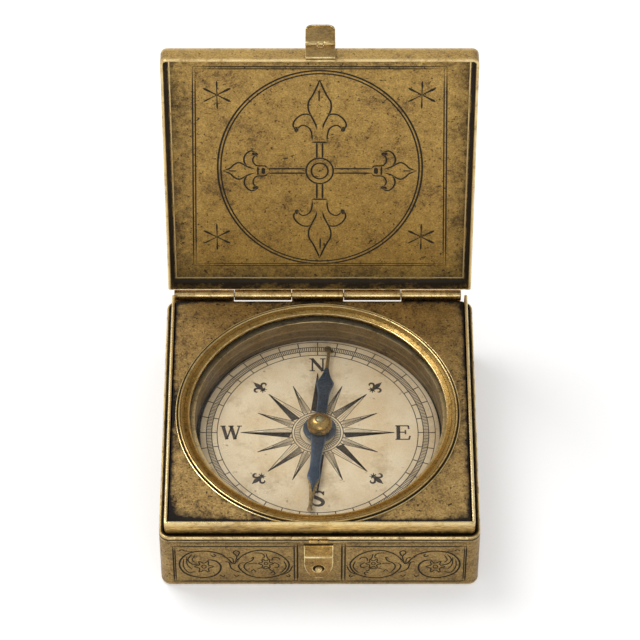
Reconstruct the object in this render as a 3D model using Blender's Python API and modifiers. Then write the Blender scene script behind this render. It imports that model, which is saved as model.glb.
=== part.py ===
"""A square brass pocket box compass with a hinged lid, a hasp and a free needle.

The case stands on Z = 0 with its middle on the Z axis. X runs along the hinge, which is at the back
(+Y), and the hasp and catch are at the front (-Y). The lid is drawn closed, in the frame of the hinge
axis, and stands open. The hasp leaf is drawn latched, in the frame of its pin, and lies folded back.
Sizes are in millimetres and degrees; MM turns them into the metres that Blender works in.
"""
import math

import bmesh
import bpy
from mathutils import Matrix

MM = 0.001
GAP = 0.25              # clearance between pieces that meet
FINE_GAP = 0.12         # clearance between the smallest pieces

# Case
CASE_WIDTH = 75.0
CASE_DEPTH = 72.7
CASE_HEIGHT = 18.7
CASE_WALL = 1.0
CASE_FLOOR = 1.0
CASE_CORNER_R = 2.5
CASE_FOOT_R = 0.75
SIDE_X = CASE_WIDTH / 2
FRONT_Y = -CASE_DEPTH / 2
BACK_Y = CASE_DEPTH / 2

# Raised inner frame and the plate it carries
FRAME_WALL = 0.75
FRAME_TOP = 22.55
FRAME_X = SIDE_X - CASE_WALL - 0.3
FRAME_FRONT_Y = FRONT_Y + CASE_WALL + 0.3
FRAME_EAR_Y = 35.0
BACK_WALL_Y = 33.45
BACK_WALL_THICK = 0.8
PLATE_TOP = 21.85
PLATE_THICK = 0.8
PLATE_BACK_Y = 33.6
PLATE_HOLE_R = 32.0

# Compass bowl, glass and rings
BOWL_R = 29.6
BOWL_WALL = 1.0
BOWL_FLOOR_TOP = 11.5
BOWL_RIM_R = 33.1
GLASS_R = 31.3
GLASS_BOTTOM = 19.7
GLASS_THICK = 1.0
RING_INNER_R = 30.6
RING_OUTER_R = 31.7
RING_TOP = 22.85
BEZEL_OUTER_R = 33.65
CARD_R = 29.25
CARD_TOP = 12.4
CARD_THICK = 0.6
ROUND_STEPS = 72

# Needle
NEEDLE_REST_DEG = -5.4
BLADE_BOTTOM = 14.2
BLADE_THICK = 0.4
TIP_THICK = 0.25
HUB_R = 4.0
BLADE_EYE_R = 1.6
CAP_R = 3.0
CAP_TOP = 17.9
JEWEL_R = 1.0
PIN_R = 0.55
PIN_POINT = 16.75
COLLAR_R = 1.8
CAP_BORE_R = 0.95

# Lid, drawn closed
LID_OPEN_DEG = 98.4
LID_WALL = 0.65
LID_SIDE_X = FRAME_X + GAP + LID_WALL
LID_END_Y = -FRAME_FRONT_Y + GAP + LID_WALL
LID_RIM_Z = CASE_HEIGHT + GAP
LID_TOP_Z = 24.1
LID_PLATE = 0.7
LID_CORNER_R = 1.5
LID_BACK_CUT_R = 2.3
LID_BACK_CUT_HEIGHT = 2.4
LID_BACK_CUT_INSET = 0.3

# Hinge
HINGE_Y = BACK_Y + 0.7
HINGE_Z = CASE_HEIGHT + 1.5
HINGE_SHIFT_X = -0.5
BARREL_R = 1.3
BORE_R = 0.8
HINGE_PIN_R = 0.55
KNUCKLE_SPLITS = (-35.3, -20.5, -6.4, 6.4, 20.5, 35.3)
LEAF_THICK = 0.6
CASE_LEAF_BOTTOM = 11.0
STOP_BACK_Y = 40.4

# Hasp, drawn latched, and the catch
HASP_X = 0.15
HASP_HALF_WIDTH = 3.5
HASP_LENGTH = 7.5
HASP_THICK = 0.6
HASP_EYE_R = 0.6
HASP_BORE_R = 0.4
HASP_PIN_R = 0.27
HASP_Y = -(LID_END_Y + GAP + HASP_THICK) - 0.15
HASP_Z = LID_TOP_Z - 0.1
LIP_HALF_WIDTH = 2.3
CATCH_X = -0.25
CATCH_HALF_WIDTH = 3.47
CATCH_TOP = 16.2
CATCH_BOTTOM = 4.0
STUD_Z = 7.9
STUD_R = 0.9
STUD_HOLE_R = 1.2


def clear_scene():
    for old in list(bpy.data.objects):
        bpy.data.objects.remove(old, do_unlink=True)


def new_collection(name):
    collection = bpy.data.collections.new(name)
    bpy.context.scene.collection.children.link(collection)
    return collection


def new_finish(name, colour, roughness, metallic, alpha=1.0):
    """A Principled material."""
    finish = bpy.data.materials.new(name)
    finish.use_nodes = True
    shader = finish.node_tree.nodes["Principled BSDF"]
    shader.inputs["Base Color"].default_value = (*colour, 1.0)
    shader.inputs["Roughness"].default_value = roughness
    shader.inputs["Metallic"].default_value = metallic
    shader.inputs["Alpha"].default_value = alpha
    return finish


def add_object(name, mesh, finish=None, parent=None, at=(0, 0, 0)):
    """Place a mesh as a part, or as a cutter when it has no finish."""
    piece = bpy.data.objects.new(name, mesh)
    piece.parent = parent
    piece.location = [value * MM for value in at]
    if finish is None:
        CUTTERS.objects.link(piece)
        piece.hide_render = True
        piece.display_type = "WIRE"
    else:
        PARTS.objects.link(piece)
        mesh.materials.append(finish)
    return piece


def mesh_from(bm, name):
    mesh = bpy.data.meshes.new(name)
    bm.to_mesh(mesh)
    bm.free()
    return mesh


def box(name, low, high, finish=None, parent=None):
    """A box between two corners."""
    size = [(b - a) * MM for a, b in zip(low, high)]
    middle = [(a + b) / 2 for a, b in zip(low, high)]
    bm = bmesh.new()
    bmesh.ops.create_cube(bm, size=1.0)
    bmesh.ops.scale(bm, vec=size, verts=bm.verts)
    return add_object(name, mesh_from(bm, name), finish, parent, middle)


def rod(name, radius, x_low, x_high, y, z, finish=None, parent=None, steps=24):
    """A cylinder along X."""
    bm = bmesh.new()
    bmesh.ops.create_cone(bm, cap_ends=True, segments=steps, radius1=radius * MM, radius2=radius * MM,
                          depth=(x_high - x_low) * MM)
    bmesh.ops.rotate(bm, verts=bm.verts, matrix=TO_X)
    mesh = mesh_from(bm, name)
    shade_round(mesh)
    return add_object(name, mesh, finish, parent, ((x_low + x_high) / 2, y, z))


def shade_round(mesh):
    mesh.shade_smooth()
    mesh.set_sharp_from_angle(angle=math.radians(35))


def turned(name, profile, finish=None, parent=None, at=(0, 0, 0), steps=ROUND_STEPS, ring=True):
    """A profile of (radius, height) turned about Z; its outer side runs downwards.

    A ring's profile is a loop, and any other starts and ends on the axis.
    """
    mesh = bpy.data.meshes.new(name)
    links = [(i, i + 1) for i in range(len(profile) - 1)]
    if ring:
        links.append((len(profile) - 1, 0))
    mesh.from_pydata([(r * MM, 0, z * MM) for r, z in profile], links, [])
    piece = add_object(name, mesh, finish, parent, at)
    screw = piece.modifiers.new("Turn", "SCREW")
    screw.steps = steps
    screw.render_steps = steps
    screw.use_merge_vertices = True
    screw.merge_threshold = 0.00001
    return piece


def flat_mesh(name, outlines, thickness):
    """A flat plate in XY, centred on Z = 0, from an outline and any holes in it."""
    curve = bpy.data.curves.new(name, "CURVE")
    curve.dimensions = "2D"
    curve.fill_mode = "BOTH"
    curve.extrude = thickness / 2 * MM
    for outline in outlines:
        spline = curve.splines.new("POLY")
        spline.points.add(len(outline) - 1)
        for point, (x, y) in zip(spline.points, outline):
            point.co = (x * MM, y * MM, 0, 1)
        spline.use_cyclic_u = True
    guide = bpy.data.objects.new(name, curve)
    CUTTERS.objects.link(guide)
    mesh = bpy.data.meshes.new_from_object(guide.evaluated_get(bpy.context.evaluated_depsgraph_get()))
    bpy.data.objects.remove(guide)
    bm = bmesh.new()
    bm.from_mesh(mesh)
    bmesh.ops.remove_doubles(bm, verts=bm.verts, dist=0.000001)
    bmesh.ops.recalc_face_normals(bm, faces=bm.faces)
    bm.to_mesh(mesh)
    bm.free()
    mesh.materials.clear()
    return mesh


def plate(name, outlines, bottom, thickness, finish, parent):
    """A level plate with its underside at the given height."""
    mesh = flat_mesh(name, outlines, thickness)
    return add_object(name, mesh, finish, parent, (0, 0, bottom + thickness / 2))


def side_prism(name, outline, x_low, x_high, finish=None, parent=None):
    """An outline of (y, z) points carried along X."""
    mesh = flat_mesh(name, [outline], x_high - x_low)
    mesh.transform(YZ_OUTLINE)
    return add_object(name, mesh, finish, parent, ((x_low + x_high) / 2, 0, 0))


def front_prism(name, outline, y_low, y_high, finish=None, parent=None, holes=()):
    """An outline of (x, z) points carried along Y."""
    mesh = flat_mesh(name, [outline, *holes], y_high - y_low)
    mesh.transform(XZ_OUTLINE)
    return add_object(name, mesh, finish, parent, (0, (y_low + y_high) / 2, 0))


def arc(x, y, radius, start_deg, end_deg, steps, squash=1.0):
    """Points along an arc, with its height squashed by a factor."""
    angles = [math.radians(start_deg + (end_deg - start_deg) * i / steps) for i in range(steps + 1)]
    return [(x + radius * math.cos(a), y + radius * squash * math.sin(a)) for a in angles]


def circle(x, y, radius, steps=32):
    return arc(x, y, radius, 0, 360 - 360 / steps, steps - 1)


def mirrored(half):
    """An outline from its right half, listed from one end of the middle line to the other."""
    return half + [(-x, y) for x, y in reversed(half) if x > 0]


def combine(piece, tool, operation):
    change = piece.modifiers.new(operation.title(), "BOOLEAN")
    change.operation = operation
    change.object = tool
    change.solver = "EXACT"


def round_edges(piece, radii, segments=4):
    """Bevel the edges for which radii, called with an edge's two ends, gives a radius."""
    mesh = piece.data
    weights = mesh.attributes.new("bevel_weight_edge", "FLOAT", "EDGE")
    wanted = [radii(*(mesh.vertices[i].co / MM for i in edge.vertices)) for edge in mesh.edges]
    largest = max(wanted)
    for weight, radius in zip(weights.data, wanted):
        weight.value = radius / largest
    bevel = piece.modifiers.new("Rounded edges", "BEVEL")
    bevel.limit_method = "WEIGHT"
    bevel.width = largest * MM
    bevel.segments = segments


def is_upright(a, b):
    return abs(a.z - b.z) > 1


def axis_empty(name, at, turn, parent=None):
    """An empty on a joint's axis."""
    empty = bpy.data.objects.new(name, None)
    PARTS.objects.link(empty)
    empty.parent = parent
    empty.location = [value * MM for value in at]
    empty.rotation_euler = [math.radians(angle) for angle in turn]
    return empty


def in_lid(y, z):
    """A point of the closed lid, in the frame of the hinge axis."""
    return y - HINGE_Y, z - HINGE_Z


def make_case():
    tray = box("case_tray", (-SIDE_X, FRONT_Y, 0), (SIDE_X, BACK_Y, CASE_HEIGHT), BRASS)

    def tray_radius(a, b):
        if is_upright(a, b):
            return CASE_CORNER_R
        return CASE_FOOT_R if a.z < 0 and b.z < 0 else 0

    round_edges(tray, tray_radius)
    inside = box("case_inside", (CASE_WALL - SIDE_X, FRONT_Y + CASE_WALL, CASE_FLOOR),
                 (SIDE_X - CASE_WALL, BACK_Y - CASE_WALL, CASE_HEIGHT + 5))
    round_edges(inside, lambda a, b: 0.5 if is_upright(a, b) else 0, 3)
    combine(tray, inside, "DIFFERENCE")


def make_inner_frame():
    frame_bottom = CASE_FLOOR + 0.3
    inner_x = FRAME_X - FRAME_WALL
    frame = box("inner_frame", (-FRAME_X, FRAME_FRONT_Y, frame_bottom), (FRAME_X, FRAME_EAR_Y, FRAME_TOP),
                BRASS)
    inside = box("frame_inside", (-inner_x, FRAME_FRONT_Y + FRAME_WALL, 0), (inner_x, BACK_WALL_Y, 30))
    behind = box("frame_behind", (-inner_x, BACK_WALL_Y + BACK_WALL_THICK, 0), (inner_x, 40, 30))
    above = box("frame_above_back_wall", (-inner_x, BACK_WALL_Y - 1, PLATE_TOP - PLATE_THICK - GAP),
                (inner_x, 40, 30))
    for cutter in (inside, behind, above):
        combine(frame, cutter, "DIFFERENCE")
    plate_x = inner_x - GAP
    top = box("top_plate", (-plate_x, FRAME_FRONT_Y + FRAME_WALL + GAP, PLATE_TOP - PLATE_THICK),
              (plate_x, PLATE_BACK_Y, PLATE_TOP), DARK_BRASS)
    hole = turned("plate_hole", [(0, 30), (PLATE_HOLE_R, 30), (PLATE_HOLE_R, 10), (0, 10)], ring=False)
    combine(top, hole, "DIFFERENCE")


def make_bowl():
    ledge = GLASS_BOTTOM - GAP
    seat_r = GLASS_R + GAP
    rim_top = PLATE_TOP - PLATE_THICK - GAP
    bowl_floor = BOWL_FLOOR_TOP - BOWL_WALL
    outer_r = BOWL_R + BOWL_WALL
    turned("compass_bowl", [
        (0, BOWL_FLOOR_TOP), (BOWL_R, BOWL_FLOOR_TOP), (BOWL_R, ledge), (seat_r, ledge), (seat_r, rim_top),
        (BOWL_RIM_R, rim_top), (BOWL_RIM_R, ledge), (outer_r, ledge - 1.2), (outer_r, bowl_floor),
        (0, bowl_floor)],
        DARK_BRASS, ring=False)
    card_bottom = CARD_TOP - CARD_THICK
    pin_hole_r = PIN_R + GAP
    turned("compass_card", [(CARD_R, CARD_TOP), (CARD_R, card_bottom), (pin_hole_r, card_bottom),
                            (pin_hole_r, CARD_TOP)], PAPER)
    glass_top = GLASS_BOTTOM + GLASS_THICK
    turned("glass", [(0, glass_top), (GLASS_R, glass_top), (GLASS_R, GLASS_BOTTOM), (0, GLASS_BOTTOM)], GLASS,
           ring=False)
    ring_bottom = glass_top + GAP
    turned("glass_ring", [
        (RING_OUTER_R - 0.35, RING_TOP), (RING_OUTER_R, RING_TOP - 0.35), (RING_OUTER_R, ring_bottom),
        (RING_INNER_R, ring_bottom), (RING_INNER_R, RING_TOP - 0.25), (RING_INNER_R + 0.25, RING_TOP)], BRASS)
    bezel_bottom = PLATE_TOP + GAP
    bezel_inner_r = RING_OUTER_R + GAP
    turned("bezel_ring", [
        (BEZEL_OUTER_R - 0.2, bezel_bottom + 0.4), (BEZEL_OUTER_R, bezel_bottom + 0.2),
        (BEZEL_OUTER_R, bezel_bottom), (bezel_inner_r, bezel_bottom), (bezel_inner_r, bezel_bottom + 0.35),
        (bezel_inner_r + 0.3, bezel_bottom + 0.65), (bezel_inner_r + 0.75, bezel_bottom + 0.65),
        (bezel_inner_r + 1.05, bezel_bottom + 0.3)], BRASS)


def make_pivot():
    card_gap = CARD_TOP + 0.3
    turned("pivot_pin", [
        (0, PIN_POINT), (0.08, PIN_POINT - 0.05), (PIN_R, PIN_POINT - 1.3), (PIN_R, BOWL_FLOOR_TOP + 0.3),
        (0, BOWL_FLOOR_TOP + 0.3)], STEEL, steps=24, ring=False)
    collar_bore = PIN_R + 0.2
    turned("pivot_collar", [
        (COLLAR_R - 0.3, card_gap + 0.6), (COLLAR_R, card_gap + 0.3), (COLLAR_R, card_gap),
        (collar_bore, card_gap), (collar_bore, card_gap + 0.6)], BRASS, steps=32)


def make_needle():
    axis = axis_empty("needle_axis", (0, 0, 0), (0, 0, NEEDLE_REST_DEG))
    blade_half = [(0, 18.6), (0.5, 18.4), (0.75, 17.2), (2.15, 13.9), (1.6, 11.2), (1.35, 9.0), (1.35, 3.6),
                  (1.8, -3.6), (1.4, -7.5), (1.25, -12.0), (1.6, -14.9), (0.55, -17.2), (0, -19.4)]
    plate("needle_blade", [mirrored(blade_half), circle(0, 0, BLADE_EYE_R)], BLADE_BOTTOM, BLADE_THICK, BLUED,
          axis)
    below = BLADE_BOTTOM - FINE_GAP - TIP_THICK
    north_half = [(0.5, 17.2), (0.4, 20.5), (0.35, 23.6)] + arc(0, 24.5, 0.9, -60, 90, 8)
    plate("needle_north_tip", [mirrored(north_half)], below, TIP_THICK, GILT, axis)
    south_half = arc(0, -25.9, 0.65, -90, 40, 6) + [(0.42, -22.5), (0.45, -19.6), (0.9, -17.2), (1.6, -15.2),
                                                    (1.2, -14.4)]
    plate("needle_south_tip", [mirrored(south_half)], below, TIP_THICK, GILT, axis)
    hub_bottom = BLADE_BOTTOM - FINE_GAP - 0.35
    turned("needle_hub", [(HUB_R - 0.1, hub_bottom + 0.35), (HUB_R, hub_bottom + 0.2), (HUB_R, hub_bottom),
                          (BLADE_EYE_R, hub_bottom), (BLADE_EYE_R, hub_bottom + 0.35)], BLUED, axis, steps=48)
    blade_top = BLADE_BOTTOM + BLADE_THICK
    cap_bottom = blade_top + GAP
    neck_r = BLADE_EYE_R - 0.2
    seat_z = CAP_TOP - 0.95
    seat_r = JEWEL_R + 0.15
    turned("needle_cap", [
        (seat_r + 0.2, CAP_TOP), (1.7, CAP_TOP - 0.15), (2.75, CAP_TOP - 1.55), (CAP_R, CAP_TOP - 2.0),
        (CAP_R, cap_bottom), (neck_r, cap_bottom), (neck_r, blade_top - 0.6), (CAP_BORE_R, blade_top - 0.6),
        (CAP_BORE_R, seat_z - 0.65), (0.7, seat_z - 0.2), (0.7, seat_z), (seat_r, seat_z), (seat_r, CAP_TOP)],
        BRASS, axis, steps=48)
    jewel_low, jewel_edge = seat_z + 0.15, CAP_TOP - 0.15
    turned("cap_jewel", [(0, CAP_TOP + 0.05), (0.7, CAP_TOP), (JEWEL_R, jewel_edge), (JEWEL_R, jewel_low),
                         (0, jewel_low)], JADE, axis, steps=32, ring=False)


def knuckle_span(index):
    """The two ends of a knuckle along X, counted from the left."""
    low = KNUCKLE_SPLITS[index] + HINGE_SHIFT_X + GAP / 2
    high = KNUCKLE_SPLITS[index + 1] + HINGE_SHIFT_X - GAP / 2
    return low, high


def make_knuckle(name, index, leaf_outline, y, z, parent=None, leaf_inset=(0, 0)):
    """A hinge knuckle: a tube on the hinge axis, joined to a leaf with the given side outline."""
    low, high = knuckle_span(index)
    knuckle = rod(name, BARREL_R, low, high, y, z, HINGE_BRASS, parent)
    leaf = side_prism(name + "_leaf", leaf_outline, low + leaf_inset[0], high - leaf_inset[1], parent=parent)
    bore = rod(name + "_bore", BORE_R, low - 1, high + 1, y, z, parent=parent)
    combine(knuckle, leaf, "UNION")
    combine(knuckle, bore, "DIFFERENCE")


def rectangle(x_low, x_high, y_low, y_high):
    return [(x_low, y_low), (x_high, y_low), (x_high, y_high), (x_low, y_high)]


def make_hinge(lid_axis):
    rod("hinge_pin", HINGE_PIN_R, knuckle_span(0)[0] + 0.2, knuckle_span(4)[1] - 0.2, HINGE_Y, HINGE_Z, STEEL)
    leaf_in = BACK_Y + GAP
    leaf_out = leaf_in + LEAF_THICK
    leaf_top = HINGE_Z - 0.7
    plain = rectangle(leaf_in, leaf_out, CASE_LEAF_BOTTOM, leaf_top)
    shelf_z = HINGE_Z - BARREL_R - 1.2
    shelf_top = shelf_z + LEAF_THICK
    with_stop = [
        (leaf_in, CASE_LEAF_BOTTOM), (leaf_out, CASE_LEAF_BOTTOM), (leaf_out, shelf_z),
        (STOP_BACK_Y, shelf_z), (STOP_BACK_Y, HINGE_Z + 0.42), (STOP_BACK_Y - LEAF_THICK, HINGE_Z + 0.42),
        (STOP_BACK_Y - LEAF_THICK, shelf_top), (leaf_out, shelf_top), (leaf_out, leaf_top),
        (leaf_in, leaf_top)]
    make_knuckle("case_knuckle_left", 0, plain, HINGE_Y, HINGE_Z, leaf_inset=(2, 0))
    make_knuckle("case_knuckle_middle", 2, with_stop, HINGE_Y, HINGE_Z)
    make_knuckle("case_knuckle_right", 4, plain, HINGE_Y, HINGE_Z, leaf_inset=(0, 2))
    lid_in, lid_leaf_bottom = in_lid(LID_END_Y + GAP, HINGE_Z + 0.7)
    lid_leaf_top = LID_TOP_Z - 0.5 - HINGE_Z
    lid_leaf = rectangle(lid_in, lid_in + LEAF_THICK, lid_leaf_bottom, lid_leaf_top)
    make_knuckle("lid_knuckle_left", 1, lid_leaf, 0, 0, lid_axis)
    make_knuckle("lid_knuckle_right", 3, lid_leaf, 0, 0, lid_axis)


def make_lid(lid_axis):
    front_y, rim_z = in_lid(-LID_END_Y, LID_RIM_Z)
    back_y, top_z = in_lid(LID_END_Y, LID_TOP_Z)
    lid = box("lid_shell", (-LID_SIDE_X, front_y, rim_z), (LID_SIDE_X, back_y, top_z), BRASS, lid_axis)

    def lid_radius(a, b):
        if is_upright(a, b):
            return LID_CORNER_R
        return 0.8 if a.z > 0 and b.z > 0 else 0

    round_edges(lid, lid_radius)
    inner_x = LID_SIDE_X - LID_WALL
    inside = box("lid_inside", (-inner_x, front_y + LID_WALL, rim_z - 5),
                 (inner_x, back_y - LID_WALL, top_z - LID_PLATE), parent=lid_axis)
    round_edges(inside, lambda a, b: 0.5 if is_upright(a, b) else 0, 3)
    round_y = back_y - LID_BACK_CUT_R - LID_BACK_CUT_INSET
    round_z = rim_z + LID_BACK_CUT_HEIGHT
    cut_outline = ([(round_y, rim_z - 2), (back_y + 2, rim_z - 2), (back_y + 2, round_z)]
                   + arc(round_y, round_z, LID_BACK_CUT_R, 0, -90, 6))
    back_cut = side_prism("lid_back_cut", cut_outline, -40, 40, parent=lid_axis)
    combine(lid, inside, "DIFFERENCE")
    combine(lid, back_cut, "DIFFERENCE")


def make_hasp(lid_axis):
    pin_y, pin_z = in_lid(HASP_Y, HASP_Z)
    eye_half = 0.55
    left, right = HASP_X - HASP_HALF_WIDTH, HASP_X + HASP_HALF_WIDTH
    plate_y = pin_y + 0.15
    plate_top = pin_z - 0.85
    mount = box("hasp_plate", (left, plate_y, in_lid(0, LID_RIM_Z)[1]),
                (right, plate_y + HASP_THICK, plate_top), BRASS, lid_axis)
    neck = box("hasp_plate_neck", (HASP_X - eye_half, plate_y, plate_top - 1),
               (HASP_X + eye_half, plate_y + HASP_THICK, pin_z), parent=lid_axis)
    eye = rod("hasp_plate_eye", HASP_EYE_R, HASP_X - eye_half, HASP_X + eye_half, pin_y, pin_z,
              parent=lid_axis)
    bore = rod("hasp_plate_bore", HASP_BORE_R, left, right, pin_y, pin_z, parent=lid_axis)
    combine(mount, neck, "UNION")
    combine(mount, eye, "UNION")
    combine(mount, bore, "DIFFERENCE")
    rod("hasp_pin", HASP_PIN_R, left + 0.2, right - 0.2, pin_y, pin_z, STEEL, lid_axis, steps=16)

    hasp_axis = axis_empty("hasp_axis", (HASP_X, pin_y, pin_z), (180, 0, 0), lid_axis)
    half = HASP_HALF_WIDTH
    corner_r = 1.4
    outline = ([(half, -0.3), (-half, -0.3)]
               + arc(corner_r - half, corner_r - HASP_LENGTH, corner_r, 180, 270, 5)
               + arc(half - corner_r, corner_r - HASP_LENGTH, corner_r, 270, 360, 5))
    leaf_face = -0.15
    leaf = front_prism("hasp_leaf", outline, leaf_face - HASP_THICK, leaf_face, BRASS, hasp_axis)
    lip = box("hasp_lip", (-LIP_HALF_WIDTH, leaf_face - HASP_THICK / 2, -HASP_LENGTH),
              (LIP_HALF_WIDTH, 0.25, 0.5 - HASP_LENGTH), parent=hasp_axis)
    barrel = rod("hasp_barrel", HASP_EYE_R, -half, half, 0, 0, parent=hasp_axis)
    slot_half = eye_half + 0.2
    slot = box("hasp_slot", (-slot_half, -2, -0.9), (slot_half, 2, 2), parent=hasp_axis)
    leaf_bore = rod("hasp_bore", HASP_BORE_R, -half - 1, half + 1, 0, 0, parent=hasp_axis)
    combine(leaf, barrel, "UNION")
    combine(leaf, lip, "UNION")
    combine(leaf, slot, "DIFFERENCE")
    combine(leaf, leaf_bore, "DIFFERENCE")


def make_catch():
    back = FRONT_Y - GAP
    tongue_face = back - 0.7
    ridge_face = back - 1.3
    ridge_z = CATCH_TOP - 3.3
    left, right = CATCH_X - CATCH_HALF_WIDTH, CATCH_X + CATCH_HALF_WIDTH
    profile = [(back, CATCH_TOP), (back, CATCH_BOTTOM - 1), (tongue_face, CATCH_BOTTOM - 1),
               (tongue_face, ridge_z - 0.5), (ridge_face, ridge_z - 0.2), (ridge_face, ridge_z + 0.1),
               (back - 0.3, CATCH_TOP)]
    catch = side_prism("catch_plate", profile, left, right, BRASS)
    tongue_top = CATCH_BOTTOM + 6.3
    tongue = ([(right, CATCH_TOP + 1), (left, CATCH_TOP + 1)]
              + arc(CATCH_X, tongue_top, CATCH_HALF_WIDTH, 180, 360, 20, squash=6.3 / CATCH_HALF_WIDTH))
    stud_hole = circle(CATCH_X, STUD_Z, STUD_HOLE_R, 24)
    shape = front_prism("catch_outline", tongue, back - 5, back + 1, holes=[stud_hole])
    combine(catch, shape, "INTERSECT")

    bar_bottom = CATCH_TOP + 1.1
    bar = box("catch_bar", (CATCH_X - LIP_HALF_WIDTH, FRONT_Y - 0.6, bar_bottom),
              (CATCH_X + LIP_HALF_WIDTH, FRONT_Y - FINE_GAP, bar_bottom + 0.7), BRASS)
    notch = box("catch_bar_notch", (CATCH_X - 0.2, FRONT_Y - 1, bar_bottom - 1),
                (CATCH_X + 0.2, FRONT_Y - 0.35, bar_bottom + 2))
    combine(bar, notch, "DIFFERENCE")

    stem_length = 0.6
    ball = arc(0, stem_length + STUD_R * 0.8, STUD_R, 90, -50, 10)
    ball[0] = (0, ball[0][1])
    stud = turned("catch_stud", ball + [(0.5, 0.3), (0.5, 0), (0, 0)], BRASS, at=(CATCH_X, back, STUD_Z),
                  steps=24, ring=False)
    stud.rotation_euler.x = math.radians(90)


def make_turns():
    """Rotations that lay a Z cylinder along X, and stand an XY outline in the YZ and XZ planes."""
    to_x = Matrix.Rotation(math.radians(90), 3, "Y")
    yz = Matrix(((0, 0, 1, 0), (1, 0, 0, 0), (0, 1, 0, 0), (0, 0, 0, 1)))
    xz = Matrix(((1, 0, 0, 0), (0, 0, -1, 0), (0, 1, 0, 0), (0, 0, 0, 1)))
    return to_x, yz, xz


clear_scene()
PARTS = new_collection("pocket_compass")
CUTTERS = new_collection("cutters")
TO_X, YZ_OUTLINE, XZ_OUTLINE = make_turns()
BRASS = new_finish("Aged brass", (0.42, 0.27, 0.09), 0.35, 1.0)
DARK_BRASS = new_finish("Tarnished brass", (0.24, 0.16, 0.06), 0.5, 1.0)
HINGE_BRASS = new_finish("Rubbed brass", (0.55, 0.38, 0.14), 0.25, 1.0)
GILT = new_finish("Gilt brass", (0.50, 0.36, 0.15), 0.35, 1.0)
STEEL = new_finish("Steel", (0.35, 0.35, 0.36), 0.35, 1.0)
BLUED = new_finish("Blued steel", (0.03, 0.06, 0.11), 0.4, 0.8)
PAPER = new_finish("Aged paper", (0.68, 0.58, 0.40), 0.8, 0.0)
JADE = new_finish("Pale stone", (0.42, 0.42, 0.26), 0.3, 0.0)
GLASS = new_finish("Glass", (0.9, 0.95, 0.92), 0.03, 0.0, 0.2)

lid_hinge_axis = axis_empty("lid_axis", (0, HINGE_Y, HINGE_Z), (-LID_OPEN_DEG, 0, 0))
make_case()
make_inner_frame()
make_bowl()
make_pivot()
make_needle()
make_hinge(lid_hinge_axis)
make_lid(lid_hinge_axis)
make_hasp(lid_hinge_axis)
make_catch()
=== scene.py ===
"""A square brass pocket compass with an engraved lid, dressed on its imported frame."""
import math
import bmesh
import bpy
import numpy as np
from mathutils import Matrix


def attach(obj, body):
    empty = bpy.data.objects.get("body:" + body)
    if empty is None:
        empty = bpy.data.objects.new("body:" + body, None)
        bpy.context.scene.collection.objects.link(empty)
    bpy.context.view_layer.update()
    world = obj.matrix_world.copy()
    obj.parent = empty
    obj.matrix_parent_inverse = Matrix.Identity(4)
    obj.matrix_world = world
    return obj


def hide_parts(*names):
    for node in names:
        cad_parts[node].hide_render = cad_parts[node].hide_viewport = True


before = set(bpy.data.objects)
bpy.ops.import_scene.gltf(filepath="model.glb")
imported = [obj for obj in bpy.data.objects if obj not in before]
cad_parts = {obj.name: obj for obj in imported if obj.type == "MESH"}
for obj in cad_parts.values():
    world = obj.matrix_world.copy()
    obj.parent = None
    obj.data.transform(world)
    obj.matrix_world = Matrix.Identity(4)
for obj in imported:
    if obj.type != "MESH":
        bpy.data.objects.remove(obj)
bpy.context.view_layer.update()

# Every length below is in millimetres until a mesh is made.
MM = 0.001
HALF_WIDTH, FRONT_Y, CASE_CORNER_R = 37.5, -36.35, 2.5
LID_FLOOR_Z, LID_BACK_Z = 23.4, 24.1
CARD_Z = 12.4
HINGE_Y, HINGE_Z = 37.05, 20.2
LID_OPEN = math.radians(98.4)
NEEDLE_TURN = math.radians(-5.4)
HASP_X, HASP_Y, HASP_Z = 0.15, -36.95, 24.0
CATCH_X = -0.25
RING_AT = (-0.4, -1.3, 0)
BOWL_AT = (-0.2, -0.6, 0)
SHARP_ANGLE = math.radians(32)


# ---------------------------------------------------------------- shapes

def grid(points, wear_and_highlight=0.0, grime_and_shade=0.0, close_rows=False, close_columns=False, first_cap=False,
         last_cap=False):
    """A skin over a grid of points (rows, columns, 3): each face joins a point, its neighbour along
    the row and the two opposite in the next row. The wear_and_highlight mask (worn brass and painted
    highlight) and the grime_and_shade mask (soiling and painted shade) are one value, or one per column."""
    rows, columns = points.shape[:2]
    index = np.arange(rows * columns).reshape(rows, columns)
    first, last = index[0].tolist(), index[-1].tolist()
    if close_rows:
        index = np.vstack([index, index[:1]])
    if close_columns:
        index = np.hstack([index, index[:, :1]])
    quads = np.stack([index[:-1, :-1], index[1:, :-1], index[1:, 1:], index[:-1, 1:]], -1)
    faces = quads.reshape(-1, 4).tolist()
    if first_cap:
        faces.append(first)
    if last_cap:
        faces.append(last[::-1])
    spread = np.zeros((rows, columns))
    return points.reshape(-1, 3), faces, (spread + wear_and_highlight).ravel(), (spread + grime_and_shade).ravel()


def moved(part, change):
    """The same part with its points put through a change of place."""
    return (change(part[0]),) + tuple(part[1:])


def spline(knots, steps=8, closed=False):
    """A smooth curve through the knots: between two of them it is the Catmull-Rom cubic of the four
    nearest."""
    knots = np.asarray(knots, float)
    if closed:
        around = np.vstack([knots[-1:], knots, knots[:2]])
    else:
        around = np.vstack([2 * knots[:1] - knots[1:2], knots, 2 * knots[-1:] - knots[-2:-1]])
    a, b, c, d = (around[i:len(around) - 3 + i, None] for i in range(4))
    t = np.linspace(0, 1, steps, endpoint=False)[None, :, None]
    curve = 0.5 * (2 * b + (c - a) * t + (2 * a - 5 * b + 4 * c - d) * t ** 2
                   + (3 * b - a - 3 * c + d) * t ** 3)
    curve = curve.reshape(-1, knots.shape[1])
    return curve if closed else np.vstack([curve, knots[-1:]])


def arc(x, y, radius, start, end, steps, squash=1.0):
    """Points of a circle from one angle to another in degrees, its height times squash."""
    turn = np.radians(np.linspace(start, end, steps))
    return np.stack([x + radius * np.cos(turn), y + radius * squash * np.sin(turn)], -1)


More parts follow.
